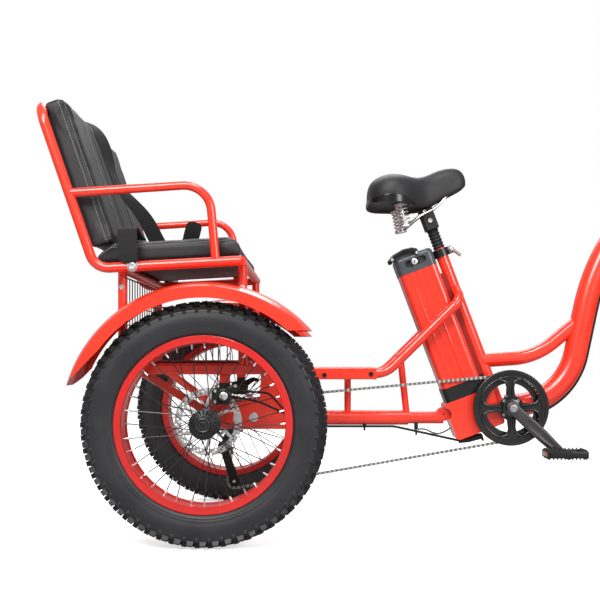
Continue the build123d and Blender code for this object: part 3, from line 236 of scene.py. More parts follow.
def arc(radius, first, last, x=0):
    """Points in mm on an arc about (x, 0), one every 20 degrees."""
    turns = [math.radians(angle) for angle in range(first, last + 1, 20)]
    return [(x + radius * math.cos(turn), radius * math.sin(turn)) for turn in turns]


def plate(outline, depth, place, across, upward, edge=0.0, steps=2):
    """A flat plate from an outline of (across, upward) pairs in mm, extruded by depth mm towards across x upward."""
    clear()
    bpy.ops.mesh.primitive_circle_add(vertices=len(outline), radius=1, fill_type="NGON")
    obj = bpy.context.object
    a = Vector(across).normalized()
    u = Vector(upward).normalized()
    for vertex, (x, z) in zip(obj.data.vertices, outline):
        vertex.co = place + a * (x * MM) + u * (z * MM)
    with editing(obj):
        bpy.ops.mesh.extrude_region_move(TRANSFORM_OT_translate={"value": a.cross(u) * (depth * MM)})
    mended(obj)
    if edge:
        rounded(obj, edge, steps)
    return obj


def copy(obj, matrix):
    """A copy with its own mesh, moved by a matrix."""
    other = obj.copy()
    other.data = obj.data.copy()
    bpy.context.collection.objects.link(other)
    other.data.transform(matrix)
    if matrix.determinant() < 0:
        other.data.flip_normals()
    return other


def turned(angle, centre, axis=FAR):
    """A turn of some degrees about a line through a centre."""
    return (Matrix.Translation(centre) @ Matrix.Rotation(math.radians(angle), 4, Vector(axis))
            @ Matrix.Translation(-Vector(centre)))


MIRROR = Matrix.Scale(-1, 4, FAR)


def joined(objs):
    clear()
    for obj in objs:
        obj.select_set(True)
    bpy.context.view_layer.objects.active = objs[0]
    bpy.ops.object.join()
    return bpy.context.object


def both(objs):
    """Pieces and their mirror images as one."""
    return joined(objs + [copy(obj, MIRROR) for obj in objs])


def ring_of(obj, count, centre, axis=FAR):
    """The object repeated round a line."""
    pieces = [obj] + [copy(obj, turned(360 / count * step, centre, axis)) for step in range(1, count)]
    return joined(pieces)


def carve(obj, tool):
    """Cuts one object out of another."""
    apply(obj, "BOOLEAN", operation="DIFFERENCE", solver="EXACT", object=tool)
    bpy.data.objects.remove(tool, do_unlink=True)
    return obj


def done(obj, name, body, finish, *replaced, angle=35):
    """Names a finished piece, gives it its finish and its body."""
    smooth(obj, angle)
    obj.name = name
    obj.data.name = name
    obj.data.materials.clear()
    obj.data.materials.append(finish)
    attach(obj, body)
    if replaced:
        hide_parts(*replaced)
    return obj


def pair(obj, name, bodies, finish, node=None, matrix=MIRROR):
    """A finished piece for the right side and its copy for the left."""
    other = copy(obj, matrix)
    for piece, side, body in ((obj, "right", bodies[0]), (other, "left", bodies[1])):
        done(piece, name + "_" + side[0], body, finish, *([node + side] if node else []))


# Finishes


class Wire:
    """A value in a material, used like a number."""

    def __init__(self, coat, socket):
        self.coat = coat
        self.socket = socket

    def _do(self, kind, first, second):
        return self.coat.node("ShaderNodeMath", {"operation": kind}, {0: first, 1: second})

    def __add__(self, other):
        return self._do("ADD", self, other)

    __radd__ = __add__

    def __sub__(self, other):
        return self._do("SUBTRACT", self, other)

    def __rsub__(self, other):
        return self._do("SUBTRACT", other, self)

    def __mul__(self, other):
        return self._do("MULTIPLY", self, other)

    __rmul__ = __mul__

    def over(self, edge):
        return self._do("GREATER_THAN", self, edge)

    def wave(self):
        return self.coat.node("ShaderNodeMath", {"operation": "SINE"}, {0: self})

    def ramp(self, low, high):
        return self.coat.node("ShaderNodeMapRange", {"interpolation_type": "SMOOTHSTEP"},
                              {0: self, 1: low, 2: high, 3: 0.0, 4: 1.0})


class Coat:
    """One finish: a shader and the nodes that feed it."""

    def __init__(self, name, **fixed):
        self.material = bpy.data.materials.new(name)
        self.material.use_nodes = True
        self.tree = self.material.node_tree
        self.shader = self.tree.nodes["Principled BSDF"]
        for key, value in fixed.items():
            self.shader.inputs[key.replace("_", " ")].default_value = value
        self.spot = self.node("ShaderNodeTexCoord", out="Object")

    def node(self, kind, settings=None, values=None, out=0):
        node = self.tree.nodes.new(kind)
        for key, value in (settings or {}).items():
            setattr(node, key, value)
        for key, value in (values or {}).items():
            if isinstance(value, Wire):
                self.tree.links.new(value.socket, node.inputs[key])
            else:
                node.inputs[key].default_value = value
        return Wire(self, node.outputs[out])

    def feed(self, **values):
        for key, value in values.items():
            self.tree.links.new(value.socket, self.shader.inputs[key.replace("_", " ")])
        return self

    def axes(self):
        place = self.node("ShaderNodeSeparateXYZ", None, {0: self.spot})
        return [Wire(self, socket) for socket in place.socket.node.outputs]

    def stretched(self, scale):
        return self.node("ShaderNodeVectorMath", {"operation": "MULTIPLY"}, {0: self.spot, 1: scale})

    def noise(self, scale, detail=3.0, rough=0.55, spot=None):
        return self.node("ShaderNodeTexNoise", None, {
            "Vector": spot or self.spot, "Scale": scale, "Detail": detail, "Roughness": rough})

    def cells(self, scale, feature="F1"):
        return self.node("ShaderNodeTexVoronoi", {"feature": feature},
                         {"Vector": self.spot, "Scale": scale}, "Distance")

    def tint(self, factor, one, two):
        return self.node("ShaderNodeMix", {"data_type": "RGBA"}, {0: factor, 6: one, 7: two}, 2)

    def bump(self, height, strength, distance):
        normal = self.node("ShaderNodeBump", None, {
            "Height": height, "Strength": strength, "Distance": distance})
        return self.feed(Normal=normal)


def rgb(*values):
    """Linear colour from 0 to 255 screen values."""
    linear = [(v / 255 / 12.92) if v < 10.3 else ((v / 255 + 0.055) / 1.055) ** 2.4 for v in values]
    return (*linear, 1.0)


def painted(name, one, two, rough, coat, peel):
    """Sprayed paint: a little uneven, with a fine orange peel under its gloss."""
    paint = Coat(name, Coat_Roughness=0.22, Specular_IOR_Level=0.5)
    broad = paint.noise(7.0, 4.0)
    fine = paint.noise(260.0, 2.0)
    paint.feed(Base_Color=paint.tint(broad.ramp(0.3, 0.7), one, two),
               Roughness=broad * 0.10 + rough,
               Coat_Weight=broad * 0.1 + coat)
    paint.bump(fine, peel, 0.0004)
    return paint.material


def metal(name, colour, rough, brushed):
    """Bare or plated metal with faint drawn lines."""
    steel = Coat(name, Metallic=1.0)
    lines = steel.noise(60.0, 4.0, 0.6, steel.stretched(brushed))
    spots = steel.noise(22.0, 3.0)
    darker = (colour[0] * 0.72, colour[1] * 0.72, colour[2] * 0.74, 1.0)
    steel.feed(Base_Color=steel.tint(lines.ramp(0.25, 0.75), darker, colour),
               Roughness=lines * 0.12 + spots * 0.10 + rough)
    steel.bump(lines, 0.06, 0.0003)
    return steel.material


def moulded(name, one, two, rough, grain, depth):
    """Moulded plastic or rubber with a fine grain."""
    stuff = Coat(name, Specular_IOR_Level=0.45)
    broad = stuff.noise(11.0, 5.0, 0.6)
    fine = stuff.noise(grain, 3.0, 0.6)
    stuff.feed(Base_Color=stuff.tint(broad.ramp(0.32, 0.72), one, two),
               Roughness=broad * 0.16 + fine * 0.10 + rough)
    stuff.bump(fine, depth, 0.0006)
    return stuff.material


RED_TONES = (rgb(242, 56, 30), rgb(232, 46, 24))
RED = painted("red_paint", *RED_TONES, 0.20, 0.55, 0.05)
BLACK_PAINT = painted("black_paint", rgb(9, 9, 10), rgb(15, 15, 16), 0.24, 0.30, 0.06)
RIM_PAINT = painted("rim_paint", rgb(206, 28, 21), rgb(188, 22, 17), 0.26, 0.40, 0.05)
GUARD_GREY = painted("guard_grey", rgb(9, 9, 10), rgb(15, 15, 16), 0.20, 0.55, 0.05)
CRANK_GREY = metal("crank_grey", (0.115, 0.108, 0.112, 1), 0.28, (1, 1, 9))
STEEL = metal("bare_steel", (0.74, 0.74, 0.74, 1), 0.26, (9, 1, 1))
BRIGHT = metal("bright_plate", (0.95, 0.95, 0.95, 1), 0.20, (3, 3, 1))
ALLOY = metal("dull_alloy", (0.45, 0.45, 0.46, 1), 0.34, (1, 8, 1))
PLASTIC = moulded("black_plastic", rgb(9, 9, 10), rgb(17, 17, 18), 0.26, 420.0, 0.12)
SOFT_RUBBER = moulded("black_rubber", rgb(15, 15, 16), rgb(26, 26, 27), 0.55, 300.0, 0.18)
WIRE_COAT = moulded("wire_coating", rgb(22, 22, 23), rgb(32, 32, 33), 0.42, 500.0, 0.06)
BASKET = moulded("basket_wire", rgb(112, 26, 24), rgb(84, 24, 22), 0.40, 500.0, 0.06)
CAP = moulded("cap_plastic", rgb(58, 62, 66), rgb(70, 75, 79), 0.16, 300.0, 0.04)
HUB = moulded("hub_black", rgb(6, 6, 7), rgb(11, 11, 12), 0.30, 260.0, 0.05)
GLOSS = moulded("glossy_plastic", rgb(12, 12, 13), rgb(20, 20, 22), 0.10, 300.0, 0.04)


def reflector():
    """Amber plastic with small facets behind a clear face."""
    amber = Coat("amber_reflector", Roughness=0.15, Coat_Weight=0.6, Specular_IOR_Level=0.6)
    facet = amber.cells(240.0)
    amber.feed(Base_Color=amber.tint(facet.ramp(0.1, 0.6), rgb(214, 128, 60), rgb(150, 74, 26)))
    amber.bump(facet, 0.35, 0.001)
    return amber.material


def lamp_lens():
    """A pale lens ribbed both ways."""
    lens = Coat("lamp_lens", Roughness=0.08, Coat_Weight=0.8, IOR=1.5)
    x, y, z = lens.axes()
    ribs = (y * 900.0).wave() + (z * 900.0).wave()
    lens.feed(Base_Color=lens.tint(ribs.ramp(-1.5, 1.5), rgb(212, 216, 220), rgb(244, 246, 248)))
    lens.bump(ribs, 0.25, 0.001)
    return lens.material


def tyre_rubber(name, one, two):
    """Matt rubber, a little dusty."""
    stuff = Coat(name, Specular_IOR_Level=0.5)
    broad = stuff.noise(14.0, 5.0, 0.65)
    fine = stuff.noise(500.0, 3.0)
    stuff.feed(Base_Color=stuff.tint(broad.ramp(0.3, 0.75), one, two),
               Roughness=broad * 0.14 + 0.40)
    stuff.bump(fine + broad, 0.15, 0.0006)
    return stuff.material


def leatherette():
    """Vinyl with a pebbled grain and soft creases."""
    hide = Coat("leatherette", Specular_IOR_Level=0.42)
    pebble = hide.cells(520.0, "DISTANCE_TO_EDGE")
    crease = hide.noise(26.0, 5.0, 0.6)
    broad = hide.noise(5.0, 3.0)
    hide.feed(Base_Color=hide.tint(broad.ramp(0.3, 0.7), rgb(24, 24, 26), rgb(36, 36, 38)),
              Roughness=crease * 0.16 + pebble * 0.4 + 0.36)
    hide.bump(pebble.ramp(0.0, 0.25) * 0.6 + crease * 2.0, 0.22, 0.0009)
    return hide.material


def webbing():
    """Woven belt: fine slanted ribs across a flat band."""
    band = Coat("webbing", Specular_IOR_Level=0.25, Sheen_Weight=0.08)
    x, y, z = band.axes()
    weft = ((x + z) * 2600.0).wave()
    warp = (y * 3400.0 + (x + z) * 600.0).wave()
    weave = weft * 0.5 + warp * 0.5
    fuzz = band.noise(300.0, 4.0)
    band.feed(Base_Color=band.tint(weave.ramp(-0.6, 0.8), rgb(8, 8, 9), rgb(24, 22, 24)),
              Roughness=fuzz * 0.2 + 0.6)
    band.bump(weave + fuzz, 0.4, 0.0006)
    return band.material


def thread():
    """Pale grey sewing thread, twisted."""
    yarn = Coat("thread", Specular_IOR_Level=0.3)
    x, y, z = yarn.axes()
    twist = ((x + y + z) * 5200.0).wave()
    yarn.feed(Base_Color=yarn.tint(twist.ramp(-1.0, 1.0), rgb(128, 128, 130), rgb(178, 178, 180)),
              Roughness=twist * 0.1 + 0.6)
    return yarn.material


def up_tube(x, y, z):
    """How far up the seat tube a place is, in metres."""
    return (x - (TUBE_X + REAR) * MM) * -LEAN_X + (z - TUBE_Z * MM) * LEAN_Z


def before_tube(x, y, z):
    """How far in front of the seat tube a place is, in metres."""
    return (x - (TUBE_X + REAR) * MM) * LEAN_Z + (z - TUBE_Z * MM) * LEAN_X


def two_tone(name, measure, edge, one, two, rough, shine=0.5, grain=320.0, vary=0.12, depth=0.06, reach=0.0004,
             bare=False):
    """One colour short of an edge and another past it, which may be bare metal."""
    stuff = Coat(name, Specular_IOR_Level=shine)
    past = measure(*stuff.axes()).over(edge)
    fine = stuff.noise(grain, 3.0)
    stuff.feed(Base_Color=stuff.tint(past, stuff.tint(fine, *one), stuff.tint(fine, *two)),
               Roughness=fine * vary + rough)
    if bare:
        stuff.feed(Metallic=past)
    stuff.bump(fine, depth, reach)
    return stuff.material


def link_steel():
    """Plated chain, with painted shade and painted highlight alternating along the run at the chain's pitch, for the
    gaps and plates of its links.
    """
    steel = Coat("chain_steel", Metallic=1.0)
    x, y, z = steel.axes()
    link_shade_wave = (x * (2 * math.pi / (CHAIN_PITCH * MM))).wave()
    spots = steel.noise(90.0, 3.0)
    # painted shade in the gaps between links and painted highlight on their plates, in turn at the chain's pitch
    steel.feed(Base_Color=steel.tint(link_shade_wave.ramp(-0.6, 0.6), (0.26, 0.25, 0.24, 1), (0.78, 0.75, 0.72, 1)),
               Roughness=spots * 0.16 + 0.26)
    steel.bump(spots, 0.1, 0.0003)
    return steel.material


AMBER = reflector()
LENS = lamp_lens()
CHAIN_STEEL = link_steel()
# a black collar with a bare steel lever in front of it
CLAMP = two_tone("clamp", before_tube, 0.0225, (rgb(12, 12, 13), rgb(22, 22, 24)),
                 ((0.42, 0.42, 0.43, 1), (0.56, 0.56, 0.57, 1)), 0.26, bare=True)
# black plastic at the foot; above it the rail that runs up between tube and case, its red darkened as a painted shade
# line for the gap between them
DOCK_PAINTED_GAP_SHADE = two_tone("dock", up_tube, 0.106, (rgb(14, 14, 15), rgb(24, 24, 26)), (rgb(126, 16, 10), rgb(142, 20, 12)),
                0.28, 0.45, 380.0, 0.14, 0.08, 0.0005)
# black brakes hung from mounts in the frame's red
CALIPER = two_tone("caliper", lambda x, y, z: z, 0.398, (rgb(9, 9, 10), rgb(17, 17, 18)), RED_TONES, 0.24)
# one rubber in two tones: the lighter sidewall tone is painted sheen, the darker tread tone is painted shade
TYRE = tyre_rubber("tyre_rubber", rgb(26, 26, 29), rgb(37, 37, 40))
TREAD_PAINTED_SHADE = tyre_rubber("tread_rubber_painted_shade", rgb(12, 12, 13), rgb(20, 20, 21))
HIDE = leatherette()
BELT = webbing()
THREAD = thread()

looks = {
    RED: ("head_tube", "bottom_bracket", "seat_tube", "main_tube", "step_tube", "battery_case", "controller_box",
          "lower_tube", "upper_stays", "rear_subframe", "seat_posts", "seat_frame", "rear_fender_right",
          "rear_fender_left", "front_fender"),
    BLACK_PAINT: ("cargo_basket", "fork", "stem", "handlebar", "front_hub", "rear_hub_right", "rear_hub_left"),
    RIM_PAINT: ("rear_rim_right", "rear_rim_left", "front_rim"),
    GUARD_GREY: ("chainring",),
    CRANK_GREY: ("crank_arms", "rear_axle"),
    STEEL: ("rear_rotor_right", "rear_rotor_left", "front_rotor"),
    BRIGHT: ("saddle_springs",),
    CLAMP: ("seat_clamp",),
    CAP: ("battery_cap",),
    CHAIN_STEEL: ("chain",),
    DOCK_PAINTED_GAP_SHADE: ("battery_dock",),
    PLASTIC: ("pedal_right", "pedal_left", "derailleur", "front_caliper", "brake_levers", "display", "headlight"),
    CALIPER: ("rear_calipers",),
    SOFT_RUBBER: ("seat_post", "grips"),
    WIRE_COAT: ("cables",),
    TYRE: ("rear_tyre_right", "rear_tyre_left", "front_tyre"),
    HIDE: ("seat_cushion", "back_cushion", "saddle"),
    BELT: ("seat_belts",),
}

for finish, names in looks.items():
    for name in names:
        nodes[name].data.materials.clear()
        nodes[name].data.materials.append(finish)

# Wheels: tyres with tread blocks, rims, laced spokes, hubs and brake discs


def profile_both(half_profile):
    """A profile of (radius, along) pairs followed by its mirror image."""
    return half_profile + [(radius, -along) for radius, along in reversed(half_profile)]


def tyre_casing(centre):
    half = [(207, -34.5), (215, -37.0), (217.5, -38.4), (221, -41.6), (223, -43.6), (225, -44.2), (227, -44.0),
            (229, -45.0), (231, -45.8), (233, -45.7), (238, -47.6), (245, -49.0), (253, -49.7), (262, -49.2),
            (270, -47.4), (273, -47.0), (275, -46.9), (277, -45.8), (282, -42.6), (286, -37), (289, -28),
            (291, -16), (291.6, -4)]
    return lathe(profile_both(half), centre, steps=120)


def tread(centre):
    """Five staggered rows of small blocks, the outer two leaning over the shoulders."""
    around = 58
    pitch = 360 / around
    rows = (
        # across, reach of the block's top, along the tread, across it, height, lean, turn in steps
        (-42.0, 290.0, 17.5, 11.0, 18.0, -34, 0.0),
        (-24.5, 296.2, 15.0, 15.0, 13.0, -9, 0.5),
        (0.0, 297.8, 16.0, 17.0, 13.0, 0, 0.0),
        (24.5, 296.2, 15.0, 15.0, 13.0, 9, 0.5),
        (42.0, 290.0, 17.5, 11.0, 18.0, 34, 0.0),
    )
    made = []
    for across, reach, long, wide, tall, lean, offset in rows:
        spot = off(centre, 0, across, reach - tall / 2 + 2)
        block = box(spot, (long, wide, tall))
        grab(block)
        bpy.ops.object.mode_set(mode="EDIT")
        shape = bmesh.from_edit_mesh(block.data)
        for face in shape.faces:
            face.select = face.normal.z > 0.9
        bmesh.update_edit_mesh(block.data)
        bpy.ops.transform.resize(value=(0.78, 0.8, 1))
        bpy.ops.mesh.inset(thickness=2.6 * MM, depth=-0.9 * MM)
        bpy.ops.object.mode_set(mode="OBJECT")
        block.data.transform(turned(-lean, spot, AHEAD))
        block.data.transform(turned(pitch * offset, centre))
        made.append(ring_of(block, around, centre))
    spot = off(centre, 0, -46.2, 273)
    nub = box(spot, (9, 4, 13), edge=1.0)
    nub.data.transform(turned(16, spot, AHEAD))
    nub.data.transform(turned(pitch / 2, centre))
    nubs = ring_of(nub, around, centre)
    return made + [nubs, copy(nubs, Matrix.Translation(centre) @ MIRROR @ Matrix.Translation(-centre))]


def rim(centre):
    half = [(214.8, -41), (216, -40.2), (216, -38.8), (214.5, -37.9), (206, -37.7), (203.4, -36), (202.6, -30),
            (202.6, -14)]
    inner = [(207, 40.4), (199, 41), (197.4, 38.5), (197.4, 33), (198.2, 29), (199.6, 24), (199.6, 14)]
    return lathe(profile_both(half) + profile_both(inner), centre, steps=120)


def spoke_ends(centre, root, flange_half, cross, index):
    side = -1 if index % 2 else 1
    lead = cross if (index // 2) % 2 else -cross
    rim_turn = math.radians(360 / SPOKES * index)
    hub_turn = rim_turn + math.radians(lead)
    start = off(centre, root * math.cos(hub_turn), side * flange_half, root * math.sin(hub_turn))
    end = off(centre, SPOKE_REACH * math.cos(rim_turn), side * 16, SPOKE_REACH * math.sin(rim_turn))
    return start, end


def spokes(centre, root, flange_half, cross):
    lines = []
    nipples = []
    for index in range(SPOKES):
        start, end = spoke_ends(centre, root, flange_half, cross, index)
        run = (end - start).normalized() * MM
        side = Vector((0, -1 if index % 2 else 1, 0)) * MM
        lines.append([start - side * 4, start + side * 1.5, start + side * 2 + run * 4, end])
        nipples.append(rod(end - run * 13, end - run, 2.0, 8, 2.5))
        nipples.append(rod(end - run * 2, end + run * 0.8, 3.4, 10, 3.0))
    return wires(lines, 1.25, ring=2), joined(nipples)


def brake_disc(centre):
    """A drilled ring on six arms, thin across Y."""
    disc = lathe([(68, -1.1), (84.6, -1.1), (85, -0.8), (85, 0.8), (84.6, 1.1), (68, 1.1)], centre, steps=96)
    drills = []
    for radius, turn in ((72.5, 0), (77, 5), (81, 10)):
        drill = rod(off(centre, 0, -4, radius), off(centre, 0, 4, radius), 2.6, 10)
        drill.data.transform(turned(turn, centre))
        drills.append(ring_of(drill, 24, centre))
    carve(disc, joined(drills))
    arm = plate([(-4, 24), (4, 24), (2, 44), (9, 70), (1, 70), (-6, 46)], 2.0,
                off(centre, y=1), AHEAD, UP, 0.4)
    arms = ring_of(arm, 6, centre)
    boss = lathe([(20.5, -1.2), (30, -1.2), (30, 1.2), (20.5, 1.2)], centre, steps=48)
    return joined([disc, arms, boss])


def rear_hub(centre):
    shell = lathe([(10.3, -38), (16, -38), (24, -36.5), (27, -34.5), (35, -33), (36, -32.4), (36, -27.6), (35, -27),
                   (28, -25), (25, -20), (24, 0), (25, 20), (28, 25), (35, 27), (36, 27.6), (36, 32.4), (35, 33),
                   (27, 34.5), (24, 38), (20, 38.4), (20, 66), (19, 67), (19, 77), (10.3, 78)], centre, steps=72)
    cap = lathe([(0.4, -43), (6.5, -43), (7.6, -42.2), (8.2, -40.4), (11.4, -40.2), (12.2, -42.4), (15.4, -42.8),
                 (17.4, -41.6), (18, -39), (18, -36.5), (0.4, -36.5)], centre, steps=48)
    bolt = rod(off(centre, 0, -36.5, 20.5), off(centre, 0, -38.7, 20.5), 2.4, 6, edge=0.4)
    ear = rod(off(centre, 0, -33.4, 32.2), off(centre, 0, -26.6, 32.2), 4.4, 14, edge=0.6)
    head = rod(off(centre, 0, -34.8, 31.8), off(centre, 0, -32.8, 31.8), 2.0, 8)
    fin = box(off(centre, 0, -35.2, 26.8), (2.4, 4.4, 12), Matrix.Rotation(0.22, 3, "X"), 0.6)
    pieces = ((ear, 18), (head, 18), (fin, 24), (bolt, 9))
    return joined([shell, cap] + [ring_of(piece, count, centre) for piece, count in pieces])


def rear_wheels():
    centre = at(0, -HALF_TRACK, AXLE_Z)
    mid = at(0, -288, AXLE_Z)
    rubber = tyre_casing(centre)
    blocks = joined(tread(centre))
    hoop_rim = rim(centre)
    laced, nipples = spokes(centre, 32, 30, 34)
    hub = rear_hub(centre)
    disc = brake_disc(mid)
    bolt = rod(off(mid, 0, 1.2, 25.5), off(mid, 0, -2.8, 25.5), 2.6, 6, edge=0.4)
    bolts = ring_of(bolt, 6, mid)
    band = hoop(off(centre, y=-42.4), 15.6, 1.3, FAR, 48, 8)
    table = (
        # piece, name, finish, node it stands for
        (rubber, "rear_tyre", TYRE, "rear_tyre_"),
        (blocks, "rear_tread", TREAD_PAINTED_SHADE, None),
        (hoop_rim, "rear_rim", RIM_PAINT, "rear_rim_"),
        (hub, "rear_hub", HUB, "rear_hub_"),
        (band, "rear_hub_band", CRANK_GREY, None),
        (disc, "rear_disc", STEEL, "rear_rotor_"),
        (laced, "rear_spokes", BLACK_PAINT, None),
        (nipples, "rear_nipples", BRIGHT, None),
        (bolts, "rear_disc_bolts", BRIGHT, None),
    )
    for obj, name, finish, node in table:
        pair(obj, name, ("rear_wheel_right", "rear_wheel_left"), finish, node)
    return rubber, blocks, hoop_rim


def front_wheel(rubber, blocks, hoop_rim):
    """The same tyre and rim, laced to a hub motor."""
    centre = at(WHEELBASE, 0, AXLE_Z)
    shift = Matrix.Translation(Vector((WHEELBASE, HALF_TRACK, 0)) * MM)
    done(copy(rubber, shift), "front_tyre_knobbly", "front_wheel", TYRE, "front_tyre")
    done(copy(blocks, shift), "front_tread", "front_wheel", TREAD_PAINTED_SHADE)
    done(copy(hoop_rim, shift), "front_rim_hoop", "front_wheel", RIM_PAINT, "front_rim")
    laced, nipples = spokes(centre, 80, 29, 14)
    done(laced, "front_spokes", "front_wheel", BLACK_PAINT)
    done(nipples, "front_nipples", "front_wheel", BRIGHT)
    shell = lathe([(7.3, -50), (40, -50), (60, -47), (70, -42), (77, -36), (78, -32), (83, -31.5), (84, -30.5),
                   (84, -27.5), (83, -26.5), (78, -26), (77, -20), (77, 20), (78, 26), (83, 26.5), (84, 27.5),
                   (84, 30.5), (83, 31.5), (78, 32), (77, 36), (70, 42), (60, 46), (31, 50), (30, 55), (7.3, 55)],
                  centre, steps=96)
    bolt = rod(off(centre, 0, -45.5, 62), off(centre, 0, -48.5, 62), 3.0, 6, edge=0.4)
    rib = box(off(centre, z=77.5), (2.2, 36, 2.6), edge=0.5)
    done(joined([shell, ring_of(rib, 30, centre)]), "front_motor", "front_wheel", BLACK_PAINT, "front_hub")
    done(ring_of(bolt, 8, centre), "front_motor_bolts", "front_wheel", BRIGHT)
    done(brake_disc(off(centre, y=53.5)), "front_disc", "front_wheel", STEEL, "front_rotor")


front_wheel(*rear_wheels())


# Passenger bench: stuffed cushions with seams, stitching and belts


def placed(origin, forward):
    """A frame at an origin whose first axis is turned up from +X by some degrees, in mm."""
    angle = math.radians(forward)
    x = Vector((math.cos(angle), 0, math.sin(angle)))
    z = Vector((-math.sin(angle), 0, math.cos(angle)))
    turn = Matrix((x, FAR, z)).transposed().to_4x4()
    return Matrix.Translation(origin) @ turn @ Matrix.Scale(MM, 4)


# beyond the cushions' ends, where rays for stitches start, in mm
CLEAR_OF = 400
THREAD_RADIUS = 0.55
LONGEST_STITCH = 0.012
CUSHION_MESH = 0.006
COVER_FRAMES = 16
SEAT = placed(at(POST_FRONT, 0, 703), 3.154)
BACK = placed(at(-277, 0, 683), 19.056)


def stuffed(obj, cap, low=None):
    """Blows a closed form up like a filled cover, each point by cap mm at most, flat where it rests."""
    rest = [vertex.co.copy() for vertex in obj.data.vertices]
    grab(obj)
    cloth = obj.modifiers.new("cover", "CLOTH")
    cloth.settings.quality = 5
    cloth.settings.mass = 0.3
    cloth.settings.use_pressure = True
    cloth.settings.uniform_pressure_force = 4.0
    cloth.settings.effector_weights.gravity = 0.0
    cloth.point_cache.frame_start = 1
    cloth.point_cache.frame_end = COVER_FRAMES
    for step in range(1, COVER_FRAMES + 1):
        bpy.context.scene.frame_set(step)
    bpy.ops.object.modifier_apply(modifier=cloth.name)
    bpy.context.scene.frame_set(1)
    for vertex, start in zip(obj.data.vertices, rest):
        move = vertex.co - start
        if move.length > cap * MM:
            vertex.co = start + move * (cap * MM / move.length)
        if low is not None:
            vertex.co[low[0]] = max(vertex.co[low[0]], low[1] * MM)
    return obj


def pressed(obj, test):
    """Moves points by what a test of their place in mm gives, in mm."""
    for vertex in obj.data.vertices:
        x, y, z = vertex.co * 1000
        dx, dy, dz = test(x, y, z)
        vertex.co += Vector((dx, dy, dz)) * MM
    return obj


def groove(distance, width, depth):
    return depth * math.exp(-(distance / width) ** 2)


def sewn(obj, rows, aim, lift=0.25, long=4.6, gap=2.6):
    """Rows of stitches laid on a surface: each row is a line of points in mm that a ray along aim carries to it."""
    lines = []
    for row in rows:
        for first, second in zip(row, row[1:]):
            run = Vector(second) - Vector(first)
            count = max(1, int(run.length / (long + gap)))
            for step in range(count):
                ends = []
                for share in (step / count, step / count + long / run.length):
                    start = (Vector(first) + run * share) * MM
                    hit, spot, normal, face = obj.ray_cast(start, Vector(aim))
                    if hit:
                        ends.append(spot + normal * (lift * MM))
                if len(ends) == 2 and (ends[1] - ends[0]).length < LONGEST_STITCH:
                    lines.append(ends)
    return wires(lines, THREAD_RADIUS, ring=1)


def sewn_ends(obj, rows):
    """Rows of (along, up) places stitched on both ends of a cushion."""
    return [sewn(obj, [[(x, y, z) for x, z in row] for row in rows], aim)
            for y, aim in ((-CLEAR_OF, FAR), (CLEAR_OF, NEAR))]


def cushion(size_low, size_high, edges, waterfall=None):
    """A block between two corners in mm with rounded edges, as a fine even mesh."""
    low, high = Vector(size_low), Vector(size_high)
    form = box((low + high) / 2 * MM, high - low)
    if waterfall:
        grab(form)
        bpy.ops.object.mode_set(mode="EDIT")
        shape = bmesh.from_edit_mesh(form.data)
        for edge in shape.edges:
            spots = [vertex.co * 1000 for vertex in edge.verts]
            edge.select = all(spot.x > high.x - 1 and spot.z > high.z - 1 for spot in spots)
        bmesh.update_edit_mesh(form.data)
        bpy.ops.mesh.bevel(offset=waterfall * MM, segments=7, affect="EDGES")
        bpy.ops.object.mode_set(mode="OBJECT")
    rounded(form, edges, 4, 40)
    return apply(form, "REMESH", mode="VOXEL", voxel_size=CUSHION_MESH)


def bench():
    seat = cushion((-368, -303, 13.2), (2, 303, 59), 7, 26)

    def tail(x, y, z):
        share = min(max((-326 - x) / 42, 0), 1)
        return 0, 0, (13 - z) * share * 0.62

    pressed(seat, tail)
    stuffed(seat, 8, (2, 12.8))
    apply(seat, "SUBSURF", levels=1, render_levels=1)

    def seat_seams(x, y, z):
        side = abs(y) > 275 or x > -30
        upper = groove(z - 53, 2.2, 2.2) if side and abs(y) > 290 and x > -310 else 0.0
        lower = groove(z - 19, 2.0, 1.6) if side else 0.0
        pull = upper + lower
        return (-pull if x > -8 else 0.0, -math.copysign(pull, y) if abs(y) > 275 else 0.0, 0.0)

    pressed(seat, seat_seams)
    ends = sewn_ends(seat, [[(-358, 33), (-328, 53), (-24, 56.5)], [(-318, 60.5), (-26, 62)]])
    front = sewn(seat, [[(300, -290, 22.5), (300, 290, 22.5)]], (-1, 0, 0))
    above = sewn(seat, [[(-306, y, 300), (-36, y, 300)] for y in (-96, 96)], (0, 0, -1))
    seat_thread = joined(ends + [front, above])

    back = cushion((5.5, -303, 50), (58, 303, 444), 8)
    stuffed(back, 8, (0, 4.6))
    apply(back, "SUBSURF", levels=1, render_levels=1)
    seams = (-160, -84, 84, 160)

    def back_seams(x, y, z):
        pull = max(groove(y - seam, 5.0, 5.5 if abs(seam) < 100 else 2.6) for seam in seams) if x > 40 else 0.0
        edge = groove(x - 51, 2.2, 2.6) if abs(y) > 290 or z > 436 or z < 58 else 0.0
        corner = math.hypot(max(abs(y) - 264, 0), max(z - 378, 0))
        bar = max(13.4 - x, 0) if z > 419 or (corner > 43 and z > 378) else 0.0
        return (bar - pull, -math.copysign(edge, y) if abs(y) > 290 else 0.0, -edge if z > 436 else 0.0)

    pressed(back, back_seams)
    ends = sewn_ends(back, [[(x, 56), (x, 440)] for x in (45, 57)])
    face = [[(300, y, 56), (300, y, 438)] for y in (-154, 154)]
    face += [[(300, -296, 437), (300, 296, 437)]]
    front = sewn(back, face, (-1, 0, 0))
    top = sewn(back, [[(45, -292, 700), (45, 292, 700)]], (0, 0, -1))
    back_thread = joined(ends + [front, top])
    for obj, cloth, place, name, node in ((seat, seat_thread, SEAT, "seat_pad", "seat_cushion"),
                                          (back, back_thread, BACK, "back_pad", "back_cushion")):
        to_row = place @ Matrix.Scale(1 / MM, 4)
        obj.data.transform(to_row)
        cloth.data.transform(to_row)
        done(obj, name, "frame", HIDE, node, angle=60)
        done(cloth, name + "_thread", "frame", THREAD)


bench()


